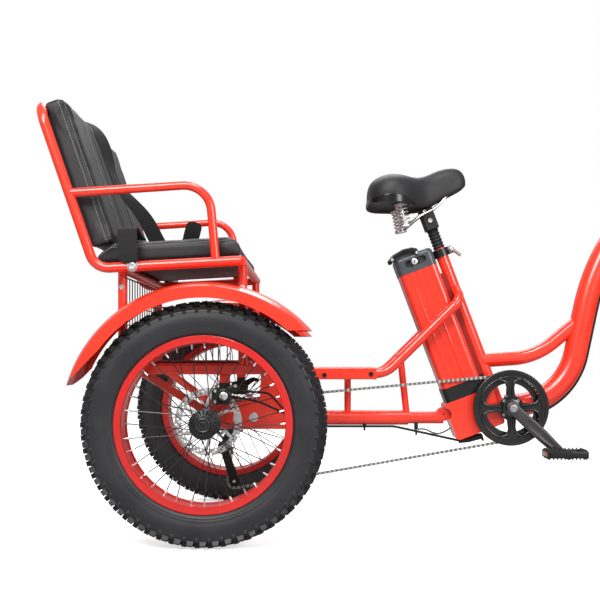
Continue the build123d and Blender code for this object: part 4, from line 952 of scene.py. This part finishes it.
def grid(rows):
    """A sheet through rows of points."""
    clear()
    bpy.ops.mesh.primitive_grid_add(x_subdivisions=len(rows[0]) - 1, y_subdivisions=len(rows) - 1, size=1)
    obj = bpy.context.object
    order = sorted(obj.data.vertices, key=lambda vertex: (round(vertex.co.y, 4), vertex.co.x))
    for vertex, spot in zip(order, [spot for row in rows for spot in row]):
        vertex.co = spot
    return obj


def strap(line, across, wide, thick=1.8):
    """Flat webbing along points; the direction of its width and the width are one for all or one a point."""
    rows = []
    for index, point in enumerate(line):
        side = Vector(across[index] if isinstance(across, list) else across).normalized()
        side *= (wide[index] if isinstance(wide, list) else wide) / 2 * MM
        rows.append((point - side, point + side))
    obj = apply(grid(rows), "SUBSURF", levels=3, render_levels=3)
    apply(obj, "SOLIDIFY", thickness=thick * MM, offset=0)
    return mended(obj)


def bolt(spot, axis, radius, tall, washer=0.0):
    """A socket-head bolt standing on a surface along an axis."""
    profile = [(0.05, tall * 0.45), (radius * 0.48, tall * 0.45), (radius * 0.52, tall * 0.96), (radius * 0.8, tall),
               (radius, tall * 0.78), (radius, 1.2)]
    if washer:
        profile += [(washer, 1.2), (washer, 0)]
    profile += [(radius if not washer else washer * 0.98, -0.6), (0.05, -0.6)]
    return lathe(profile, spot, axis, 16)


def belts():
    """A loose shoulder belt over the back and two lap belts from plates bolted to the rails."""
    hang = (
        # in front of the loop's tube, up along it, across, how far its width turns forward
        (-17, 416, -30, 0.0), (-16, 440, -30, 0.0), (-4, 454, -30, 0.05), (24, 455, -30, 0.1), (46, 452, -30, 0.15),
        (63, 438, -28, 0.3), (76, 410, -24, 0.5), (81, 372, -18, 0.55), (77, 330, -10, 0.45), (73, 292, -2, 0.2),
        (75, 256, 6, 0.3), (90, 214, 14, 0.8), (110, 168, 24, 1.3), (120, 124, 34, 1.9), (122, 86, 42, 2.1),
        (130, 52, 52, 1.6), (156, 30, 60, 0.6), (190, 18, 66, 0.2), (222, 6, 70, 0.0),
    )
    lines = [BACK @ Vector((out, across, up)) for out, up, across, turn in hang]
    sides = [Vector((turn, 1, 0.35 * turn)) for out, up, across, turn in hang]
    pieces = [strap(lines, sides, 46)]
    climb = (
        # place, width
        (-184, -339.4, 694, 20), (-187, -340.4, 698, 40), (-192, -340, 707, 48), (-194, -338, 722, 48),
        (-196, -329, 752, 48), (-198, -320, 776, 48), (-199, -310, 787, 48), (-198, -296, 788, 48),
        (-196, -282, 778, 48), (-193, -268, 769, 48), (-190, -246, 766, 48), (-188, -222, 766.5, 48),
    )
    near = strap([at(*spot[:3]) for spot in climb], (1, 0, 0.02), [spot[3] for spot in climb])
    pieces += [near, copy(near, MIRROR)]
    stub = ((-100, 74, 768), (-96, 68, 780), (-90, 60, 804), (-82, 54, 830), (-76, 53, 854))
    pieces.append(strap([at(*spot) for spot in stub], (1, 0.2, -0.2), 46))
    webs = done(joined(pieces), "belt_webbing", "frame", BELT, "seat_belts")
    drop = arc(14, -200, 20) + [(12, 18), (8, 24), (-16, 24), (-18, 14)]
    lug = plate(drop, 2.4, at(-182, -336.9, 688), AHEAD, UP, 0.7)
    done(both([lug]), "belt_plates", "frame", STEEL)
    head = bolt(at(-182, -339.3, 688), NEAR, 8.6, 6, 10.5)
    done(both([head]), "belt_bolts", "frame", BRIGHT)


belts()


# Basket of round wires


def basket():
    low, high, half, rear, front = 448.5, 670.0, 254, POST_REAR, POST_FRONT
    walls = (
        # along X, its place, ends, top, wires
        (False, rear, -half, half, high, 15),
        (False, front, -half, half, 494, 15),
        (True, -half, rear + 4, front - 4, 592, 9),
        (True, half, rear + 4, front - 4, 592, 9),
    )
    thin = []
    thick = []
    for along, place, start, end, top, count in walls:
        def spot(share, z):
            run = start + (end - start) * share
            return at(run, place, z) if along else at(place, run, z)
        thin += [[spot(step / (count - 1), low), spot(step / (count - 1), top)] for step in range(count)]
        thin += [[spot(0, low + (top - low) * share), spot(1, low + (top - low) * share)] for share in (0.34, 0.67)]
        thick += [[spot(0, z), spot(1, z)] for z in (low + 1, top - 2)]
    thin += [[at(rear, y, low), at(front, y, low)] for y in range(-240, 241, 30)]
    thick += [[at(x, -half, low), at(x, half, low)] for x in (rear + 8, (rear + front) / 2, front - 8)]
    mesh = joined([wires(thin, 1.5, ring=1), wires(thick, 2.2, ring=2)])
    done(mesh, "basket_wires", "frame", BASKET, "cargo_basket")


basket()


# Saddle: coil springs in cups, rails, a moulded cover and a glossy bumper


COIL_STEPS = 20


def coil(foot, top, radius, turns, wire):
    run = top - foot
    across = run.orthogonal().normalized()
    other = run.normalized().cross(across)
    points = []
    for step in range(turns * COIL_STEPS + 1):
        turn = 2 * math.pi * step / COIL_STEPS
        points.append(foot + run * (step / (turns * COIL_STEPS))
                      + (across * math.cos(turn) + other * math.sin(turn)) * (radius * MM))
    return tube(points, wire, ring=2)


def saddle_fittings():
    bright = []
    for side in (-1, 1):
        foot, top = at(520, side * 62, 826), at(508, side * 62, 884)
        run = (top - foot).normalized() * MM
        bright.append(coil(foot, top, 15, 6, 2.4))
        bright += [rod(foot - run * 4, foot + run, 18, 28, edge=1),
                   rod(top - run, top + run * 4, 18, 28, edge=1),
                   rod(foot, top, 4, 12)]
        rail = [at(521, side * 60, 824), at(534, side * 46, 832), at(562, side * 26, 860), at(592, side * 22, 873),
                at(620, side * 20, 888), at(650, side * 12, 930)]
        bright.append(tube(rail, 3.8, ring=3, order=4))
    done(joined(bright), "saddle_springs_coiled", "frame", BRIGHT, "saddle_springs")


saddle_fittings()

SADDLE = (
    # along, half width, crown, lower edge
    (418.4, 44, 930, 890), (421, 64, 941, 888), (426, 81, 951, 886), (436, 97.5, 961, 885), (450, 109.5, 969, 885),
    (466, 116, 974, 885.5), (484, 117.5, 976.5, 885.5), (502, 114, 976.5, 884), (520, 104, 974, 882),
    (536, 89, 970.5, 878.5), (550, 74, 969, 877.5), (565, 60.5, 970.5, 877.5), (580, 50, 975, 879.5),
    (596, 43, 981.5, 887), (614, 38.5, 988.5, 898), (634, 35.5, 994.5, 909), (654, 33, 997, 919),
    (670, 30.5, 995.5, 927), (681, 27, 990, 933), (689, 22, 981, 938.5), (694, 15, 970.5, 944), (695.8, 8, 962, 949),
)


def saddle_section(x, half, crown, edge):
    """A closed line round the saddle: a low dome with a groove along its middle, and a hollow under its lip."""
    spots = []
    for step in range(33):
        a = math.radians(-90 + 180 * step / 32)
        share = math.cos(a) ** 0.62 if step not in (0, 32) else 0.0
        y = math.copysign(half * abs(math.sin(a)) ** 0.85, a) * (1 - 0.08 * (1 - share) ** 2)
        dip = 6.5 * math.exp(-(y / 15) ** 2) * min(max((612 - x) / 60, 0), 1) * min(max((x - 424) / 30, 0), 1)
        spots.append((x, y, edge + (crown - edge) * share - dip))
    lip = min(8, half * 0.3)
    tall = min(16, (crown - edge) * 0.25)
    under = [(half * 0.92 - lip, edge), (half * 0.92 - lip - 1, edge + tall * 0.6), (half * 0.6, edge + tall),
             (half * 0.25, edge + tall * 1.1)]
    spots += [(x, y, z) for y, z in under] + [(x, -y, z) for y, z in reversed(under)]
    return [at(*spot) for spot in spots + spots[:1]]


def saddle():
    """One moulded cover with a glossy bumper round its tail."""
    rings = [saddle_section(*row) for row in SADDLE]
    tail, nose = at(417.9, 0, 908), at(696, 0, 955)
    rings = [[tail] * len(rings[0])] + rings + [[nose] * len(rings[0])]
    cover = mended(grid(rings))
    apply(cover, "SUBSURF", levels=1, render_levels=1)
    done(cover, "saddle_cover", "frame", HIDE, "saddle", angle=50)
    rows = [row for row in SADDLE if row[0] < 552]
    near = [(x, -0.945 * half - 1.2, edge, tall) for (x, half, crown, edge), tall
            in zip(rows, (11, 12, 13, 15, 18, 21, 22, 21, 18, 14, 9))]
    path = list(reversed(near)) + [(417.2, 0, 886, 11)] + [(x, -y, edge, tall) for x, y, edge, tall in near]
    band = strap([at(x, y, edge + tall / 2) for x, y, edge, tall in path], UP, [spot[3] for spot in path], 4)
    rounded(band, 1.4, 2, 50)
    done(band, "saddle_bumper", "frame", GLOSS)


saddle()


# Battery: carrying handle, ridges and lock


def on_tube(up, back, y):
    """A point by its height along the seat tube and distance behind it."""
    return at(TUBE_X - LEAN_X * up - LEAN_Z * back, y, TUBE_Z + LEAN_Z * up - LEAN_X * back)


TUBE_UP = Vector((-LEAN_X, 0, LEAN_Z))
TUBE_BACK = Vector((-LEAN_Z, 0, -LEAN_X))


def battery():
    arch = [(146, 488), (146, 499), (136, 505), (104, 510), (80, 507), (66, 499), (64, 489), (72, 486), (80, 492),
            (104, 496), (130, 493), (138, 486)]
    grip = plate([(-back, up) for back, up in arch], 16, on_tube(0, 0, -34), -TUBE_BACK, TUBE_UP, 3, 3)
    other = copy(grip, MIRROR)
    bridge = plate([(-138, 492), (-138, 502), (-104, 508), (-76, 504), (-76, 494), (-104, 498)], 68,
                   on_tube(0, 0, 34), -TUBE_BACK, TUBE_UP, 2)
    done(joined([grip, other, bridge]), "battery_handle", "frame", GLOSS)
    ridges = [rod(on_tube(118, 107, -42.4), on_tube(392, 107, -42.4), 3.6, 20, edge=1),
              rod(on_tube(118, 69, -42.4), on_tube(312, 69, -42.4), 3.6, 20, edge=1)]
    done(both(ridges), "battery_ridges", "frame", RED)
    dots = [bolt(on_tube(488, 71, -50), NEAR, 4.2, 3), bolt(on_tube(493, 142, -50), NEAR, 4.6, 3)]
    lock_up, lock_back = 467, 85
    lock = lathe([(0.05, 2.0), (2.0, 2.0), (2.4, 3.2), (7.0, 3.4), (8.6, 2.6), (9.4, 1.2), (9.6, -0.5), (0.05, -0.5)],
                 on_tube(lock_up, lock_back, -45), NEAR, 32)
    slot = box(on_tube(lock_up, lock_back, -48), (1.6, 1.4, 6), None, 0.3)
    done(joined(dots + [copy(dot, MIRROR) for dot in dots] + [lock]), "battery_lock", "frame", BRIGHT)
    ring = lathe([(9.8, 0.8), (13.4, 0.8), (14, 0.2), (14, -0.6), (9.8, -0.6)], on_tube(lock_up, lock_back, -45),
                 NEAR, 32)
    pads = [box(on_tube(lock_up + up, lock_back + back, -45.4), (5, 1.6, 5), None, 0.5)
            for up, back in ((14, -10), (-14, 10))]
    done(joined([ring, slot] + pads), "battery_lock_ring", "frame", PLASTIC)


battery()


# Chain of rollers and plates


def chain_places(pitch):
    """Pin places round the ring, the sprocket and the two guide wheels, in mm."""
    wheels = ((CRANK_X, CRANK_Z, 90, 1), (0, AXLE_Z, 37, 1), (*GUIDES[0], 20, -1), (*GUIDES[1], 20, 1))
    runs = []
    for index in range(4):
        x1, z1, r1, s1 = wheels[index]
        x2, z2, r2, s2 = wheels[(index + 1) % 4]
        gap = math.hypot(x2 - x1, z2 - z1)
        swing = math.atan2(z2 - z1, x2 - x1) - math.acos((s1 * r1 - s2 * r2) / gap)
        normal = Vector((math.cos(swing), math.sin(swing)))
        runs.append((Vector((x1, z1)) + normal * (s1 * r1), Vector((x2, z2)) + normal * (s2 * r2)))
    path = []
    for index in range(4):
        start, end = runs[index]
        path += [start, end]
        x, z, r, sense = wheels[(index + 1) % 4]
        after = runs[(index + 1) % 4][0]
        first = math.atan2(end.y - z, end.x - x)
        sweep = (math.atan2(after.y - z, after.x - x) - first) * sense % (2 * math.pi) * sense
        for step in range(1, 24):
            a = first + sweep * step / 24
            path.append(Vector((x + r * math.cos(a), z + r * math.sin(a))))
    path.append(path[0])
    total = sum((b - a).length for a, b in zip(path, path[1:]))
    count = 2 * round(total / pitch / 2)
    pins = []
    walked = 0.0
    for a, b in zip(path, path[1:]):
        long = (b - a).length
        while len(pins) < count and len(pins) * total / count <= walked + long:
            pins.append(a + (b - a) * ((len(pins) * total / count - walked) / long))
        walked += long
    return pins


def chain():
    pins = chain_places(CHAIN_PITCH)
    waist = [(-6.35, -4), (-3, -3.9), (0, -2.7), (3, -3.9), (6.35, -4), (9.2, -2.8), (10.2, 0), (9.2, 2.8), (6.35, 4),
             (3, 3.9), (0, 2.7), (-3, 3.9), (-6.35, 4), (-9.2, 2.8), (-10.2, 0), (-9.2, -2.8)]
    sheet = plate(waist, 1.0, ORIGIN, AHEAD, UP)
    roller = rod(off(ORIGIN, y=-2.2), off(ORIGIN, y=2.2), 3.6, 10)
    pin = rod(off(ORIGIN, y=-4.8), off(ORIGIN, y=4.8), 1.7, 8)
    pieces = []
    for index, spot in enumerate(pins):
        after = pins[(index + 1) % len(pins)]
        heading = math.atan2(after.y - spot.y, after.x - spot.x)
        here = at(spot.x, CHAIN_Y, spot.y)
        middle = Matrix.Translation((here + at(after.x, CHAIN_Y, after.y)) / 2) @ Matrix.Rotation(-heading, 4, "Y")
        for y in ((-3.3, 4.4) if index % 2 else (-2.2, 3.3)):
            pieces.append(copy(sheet, middle @ Matrix.Translation(off(ORIGIN, y=y))))
        pieces.append(copy(roller, Matrix.Translation(here)))
        pieces.append(copy(pin, Matrix.Translation(here)))
    for obj in (sheet, roller, pin):
        bpy.data.objects.remove(obj, do_unlink=True)
    links = joined(pieces)
    middle = off(ORIGIN, y=CHAIN_Y)
    narrow = Matrix.Scale(CHAIN_NARROW, 4, FAR)
    links.data.transform(Matrix.Translation(middle) @ narrow @ Matrix.Translation(-middle))
    done(links, "roller_chain", "frame", CHAIN_STEEL, "chain")


chain()


# Crank set: shaped arms, beads and ribs on the guard, bolts, and cage pedals with reflectors


def crank_arm():
    """One arm, swelling between boss and tip, with a flat facet along its middle."""
    swell = [(44, 16.5), (78, 18), (112, 17.6), (146, 15.4)]
    outline = arc(19, 60, 300) + [(x, -y) for x, y in swell]
    outline += arc(14, -80, 80, CRANK_LONG) + list(reversed(swell))
    turn = math.radians(CRANK_TURN)
    along = Vector((math.cos(turn), 0, math.sin(turn)))
    upward = Vector((-math.sin(turn), 0, math.cos(turn)))
    arm = plate(outline, 14, crank_at(-84), along, upward, 4.6, 4)
    facet = [(52, -6), (70, -9), (120, -8.5), (150, -5), (150, 5), (120, 8.5), (70, 9), (52, 6)]
    hollow = plate(facet, 6, crank_at(-96.9), along, upward, 1.0, 2)
    return carve(arm, hollow)


def crank_set():
    near = crank_arm()
    far = copy(near, Matrix.Translation(crank_at(0)) @ Matrix.Rotation(math.pi, 4, "Y") @ MIRROR
               @ Matrix.Translation(-crank_at(0)))
    axle = rod(crank_at(-96), crank_at(96), 9.9, 40, edge=1)
    done(joined([near, far, axle]), "crank_arms_shaped", "crank", CRANK_GREY, "crank_arms")
    face = crank_at(-67)
    beads = [hoop(face, 102.5, 2.2, ring=12), hoop(face, 86.5, 2.6, ring=12), hoop(face, 33, 2.4, sides=64)]
    for arm in range(4):
        for side in (-1, 1):
            rib = []
            for reach, swing in ((30, 11), (46, 7.5), (62, 6.5), (76, 10), (84, 18), (87, 26)):
                a = math.radians(2 + 90 * arm + side * swing)
                rib.append(off(face, reach * math.cos(a), 0, reach * math.sin(a)))
            beads.append(tube(rib, 4.0, ring=4, order=4))
    boss = lathe([(10.2, 0), (26, 0), (26, -3), (24, -6.5), (19, -8), (10.2, -8)], face, steps=64)
    done(joined(beads + [boss]), "guard_ribs", "crank", GUARD_GREY)
    bolts = [bolt(turned(45 + 90 * step, face) @ off(face, 28.5, 1), NEAR, 4, 3) for step in range(4)]
    ends = [bolt(crank_at(-97.6), NEAR, 10.5, 3.6), bolt(crank_at(97.6), FAR, 10.5, 3.6)]
    done(joined(bolts + ends), "crank_bolts", "crank", ALLOY)


def pedals():
    centre = at(PEDAL_X, -152, PEDAL_Z)
    table = (
        # place from the middle, size; each bar has another across the middle
        ((49, 0, 0), (9, 70, 20)), ((0, 35.5, 0), (96, 6, 18)),
        ((23, 0, 0), (3.5, 70, 13)), ((0, 17, 0), (92, 3.5, 11)),
    )
    bars = [box(off(centre, *(side * Vector(spot))), size, None, 1.4) for spot, size in table for side in (1, -1)]
    barrel = lathe([(7, -39), (11, -38.5), (12.5, -36), (12.5, 30), (11, 38), (9, 39), (9, 53.5), (7, 53.5)], centre,
                   steps=32)
    spike = rod(ORIGIN, off(ORIGIN, z=4.5), 2.6, 6, 1.4)
    rows = [(x, y, 8.8) for y in (-35.5, 35.5) for x in range(-40, 41, 10)]
    rows += [(x, y, 9.6) for x in (-49, 49) for y in range(-28, 29, 14)]
    spikes = [copy(spike, Matrix.Translation(off(centre, x, y, up * z))
                   @ Matrix.Rotation(0 if up > 0 else math.pi, 4, "X")) for x, y, z in rows for up in (1, -1)]
    bpy.data.objects.remove(spike, do_unlink=True)
    cage = joined(bars + [barrel] + spikes)
    lamps = joined([box(off(centre, x), (2.4, 46, 12), None, 0.8) for x in (53.2, -53.2)])
    shift = Matrix.Translation(Vector((CRANK_X - PEDAL_X, 0, CRANK_Z - PEDAL_Z)) * 2 * MM) @ MIRROR
    bodies = ("pedal_right", "pedal_left")
    for obj, name, finish, node in ((cage, "pedal_cage", PLASTIC, "pedal_"), (lamps, "pedal_reflector", AMBER, None)):
        pair(obj, name, bodies, finish, node, shift)


crank_set()
pedals()


# Gear changer and brakes


def gears():
    """Guide wheels with teeth, and the knuckle that carries them."""
    wheels = []
    for x, z in GUIDES:
        wheels.append(lathe([(4, -3), (12, -3), (13, -1.6), (15, -1.4), (15, 1.4), (13, 1.6), (12, 3), (4, 3)],
                            at(x, CHAIN_Y, z), steps=40))
        tooth = plate([(-2.6, 14), (2.6, 14), (1.0, 18.6), (-1.0, 18.6)], 2.4, at(x, -48.8, z), AHEAD, UP)
        wheels.append(ring_of(tooth, 11, at(x, CHAIN_Y, z)))
    body = [plate([(-16, -8), (10, -14), (22, -4), (20, 16), (4, 24), (-14, 14)], 24, at(18, -64, 212), AHEAD,
                  UP, 4, 3),
            box(at(36, -84, 238), (22, 16, 44), Matrix.Rotation(0.5, 3, "Y"), 4),
            rod(at(44, -104, 262), at(44, -78, 262), 11, 24, edge=1.5),
            rod(at(18, -92, 208), at(18, -60, 208), 12.5, 28, edge=2)]
    done(joined(wheels + body), "gear_changer_knuckle", "frame", PLASTIC)
    bolts = [bolt(at(x, -59.6, z), NEAR, 4.2, 3) for x, z in reversed(GUIDES)]
    bolts.append(bolt(at(44, -104, 262), NEAR, 6, 3.4))
    done(joined(bolts), "gear_changer_bolts", "frame", BRIGHT)


def brakes():
    pivot = at(41, -303, 366)
    body = [lathe([(11, 0), (18, 0), (19, -1.4), (19, -8), (16, -10), (11, -10)], pivot, steps=40),
            plate([(-7, -7), (9, -9), (40, 14), (38, 24), (28, 24), (-6, 8)], 5, off(pivot, 0, 5, 6), AHEAD, UP, 1.2),
            rod(at(74, -300, 392), at(92, -290, 388), 6, 20, edge=1)]
    bright = [lathe([(0.05, -3.6), (8.6, -3.6), (10.4, -2.4), (10.8, -0.4), (10.8, 6), (0.05, 6)], off(pivot, y=-8),
                    steps=32)]
    bright += [bolt(at(20, -309, z), NEAR, 4.4, 3.4) for z in (352, 379)]
    bright.append(bolt(at(70, -303, 391), NEAR, 4.4, 4))
    for pieces, name, finish in ((body, "brake_arm", PLASTIC), (bright, "brake_bolts", BRIGHT)):
        pair(joined(pieces), name, ("frame", "frame"), finish)


gears()
brakes()


# Bolts, ties and plugs

WIRE_WIDE = 0.0044


def sense_wire():
    """A thin free wire that dips from the tie under the lower tube into the box."""
    line = [at(560, -12, 258), at(578, -14, 262), at(602, -16, 248), at(628, -16, 246), at(652, -14, 262)]
    wire = route("sense_wire", [line], WIRE_WIDE / 2 / MM, 3, 3, 12)
    wire.data.materials.append(WIRE_COAT)
    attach(wire, "frame")


def small_parts():
    bright = []
    for side in (-1, 1):
        for x in (POST_FRONT, POST_REAR):
            top = AXLE_Z + math.sqrt(FENDER_RADIUS ** 2 - x ** 2)
            bright.append(bolt(at(x, side * 289, top + 7), UP, 4.5, 3.6, 7))
            bright.append(bolt(at(x, side * 302, top + 9), UP, 4.5, 3.6, 7))
            bright.append(bolt(at(x, side * 283.4, 640), (0, side, 0), 4.5, 3.6, 6.5))
        bright.append(bolt(at(-72, side * 300, 636), UP, 4.5, 4, 7))
        for x in (60, 104):
            bright.append(lathe([(0.05, 2.4), (11, 2.4), (12.6, 1), (12.6, -1), (0.05, -1)],
                                at(x, side * 122, 297 if x < 100 else 300), (0, side, 0), 28))
    done(joined(bright), "bracket_bolts", "frame", BRIGHT)
    dark = []
    for x, z in ((296, 413), (424, 416)):
        for side in (-1, 1):
            dark.append(bolt(at(x, side * 79.4, z), (0, side, 0), 6.2, 4.6))
    for x, z, drop in ((410, 268, 7), (556, 256, 18)):
        dark += [hoop(at(x, -9, z), 7.4, 1.6, AHEAD, 32, 6), box(at(x, -13, z - 9), (6, 5, 9), None, 1),
                 box(at(x, -9, z + 4 + drop / 2), (11, 8, drop + 4), None, 1.2)]
    dark += [rod(at(676, -9, 224), at(700, -9, 229), 5.5, 20, 8.5),
             rod(at(700, -9, 229), at(742, -9, 240), 8.8, 24, edge=1.5),
             box(at(742, -9, 236), (5, 22, 20), Matrix.Rotation(-0.28, 3, "Y"), 1.5)]
    done(joined(dark), "ties_and_plugs", "frame", PLASTIC)
    sense_wire()
    pinch = [bolt(on_tube(465, -29, -24), NEAR, 5.5, 3), bolt(on_tube(560, 0, -23), NEAR, 6.5, 4),
             bolt(on_tube(590, 6, -23), NEAR, 5.5, 3.6)]
    done(joined(pinch), "post_bolts", "frame", BRIGHT)


small_parts()


# Front end: lamp lens and its ring


def front_end():
    lamp = at(1341, 0, 741.3)
    done(lathe([(0.05, 6), (14, 5), (24, 3), (30.5, 0), (31, -2), (0.05, -2)], lamp, AHEAD, 48),
         "lamp_glass", "steering", LENS)
    done(hoop(off(lamp, -0.4), 33, 2.6, AHEAD, 64), "lamp_ring", "steering", GLOSS)


front_end()


# Camera, floor and light


def camera():
    """The photograph's place and lens."""
    data = bpy.data.cameras.new("camera")
    data.lens = 54.9
    data.sensor_width = 36.0
    data.shift_x = -0.0188
    data.shift_y = 0.089
    data.clip_end = 100
    cam = added("camera", data)
    cam.location = (-0.37885, -2.595, 0.4726)
    cam.rotation_euler = (math.pi / 2, 0, 0)
    bpy.context.scene.camera = cam


def ground():
    """A floor that looks white but lights the object only a little."""
    clear()
    bpy.ops.mesh.primitive_plane_add(size=60, location=(0, 0, -0.0005))
    floor = bpy.context.object
    floor.name = "floor"
    pale = Coat("floor", Roughness=0.9, Specular_IOR_Level=0.0, Base_Color=(0.92, 0.92, 0.92, 1),
                Emission_Color=(1, 1, 1, 1), Emission_Strength=0.62)
    ray = pale.node("ShaderNodeLightPath", out="Is Camera Ray")
    dim = pale.node("ShaderNodeBsdfDiffuse", None, {"Color": (0.42, 0.42, 0.42, 1)})
    mixed = pale.node("ShaderNodeMixShader", None, {0: ray, 1: dim, 2: Wire(pale, pale.shader.outputs[0])})
    pale.tree.links.new(mixed.socket, pale.tree.nodes["Material Output"].inputs[0])
    floor.data.materials.append(pale.material)


def sky():
    """White to the eye, and softer as a light."""
    world = bpy.data.worlds.new("world")
    bpy.context.scene.world = world
    world.use_nodes = True
    tree = world.node_tree
    ray = tree.nodes.new("ShaderNodeLightPath")
    soft = tree.nodes["Background"]
    white = tree.nodes.new("ShaderNodeBackground")
    for shade, strength in ((soft, 0.42), (white, 1.0)):
        shade.inputs[0].default_value = (1, 1, 1, 1)
        shade.inputs[1].default_value = strength
    mix = tree.nodes.new("ShaderNodeMixShader")
    for index, source in enumerate((ray.outputs["Is Camera Ray"], soft.outputs[0], white.outputs[0])):
        tree.links.new(source, mix.inputs[index])
    tree.links.new(mix.outputs[0], tree.nodes["World Output"].inputs[0])


def lamps():
    table = (
        # place, aimed at, size, power
        ((-1.6, -3.2, 3.0), (-0.2, 0, 0.5), 1.6, 130),
        ((2.0, -2.8, 1.8), (0.0, 0, 0.5), 1.2, 60),
        ((-0.2, -1.5, 3.4), (-0.2, 0, 0.5), 0.8, 45),
        ((-0.4, 2.4, 3.6), (-0.2, 0, 0.5), 2.4, 70),
    )
    for index, (place, aim, size, power) in enumerate(table):
        lamp = bpy.data.lights.new("lamp_%d" % index, "AREA")
        lamp.size = size
        lamp.energy = power
        obj = added("lamp_%d" % index, lamp)
        obj.location = place
        obj.rotation_euler = (Vector(aim) - Vector(place)).to_track_quat("-Z", "Y").to_euler()


camera()
ground()
sky()
lamps()
bpy.context.scene.view_settings.view_transform = "Standard"
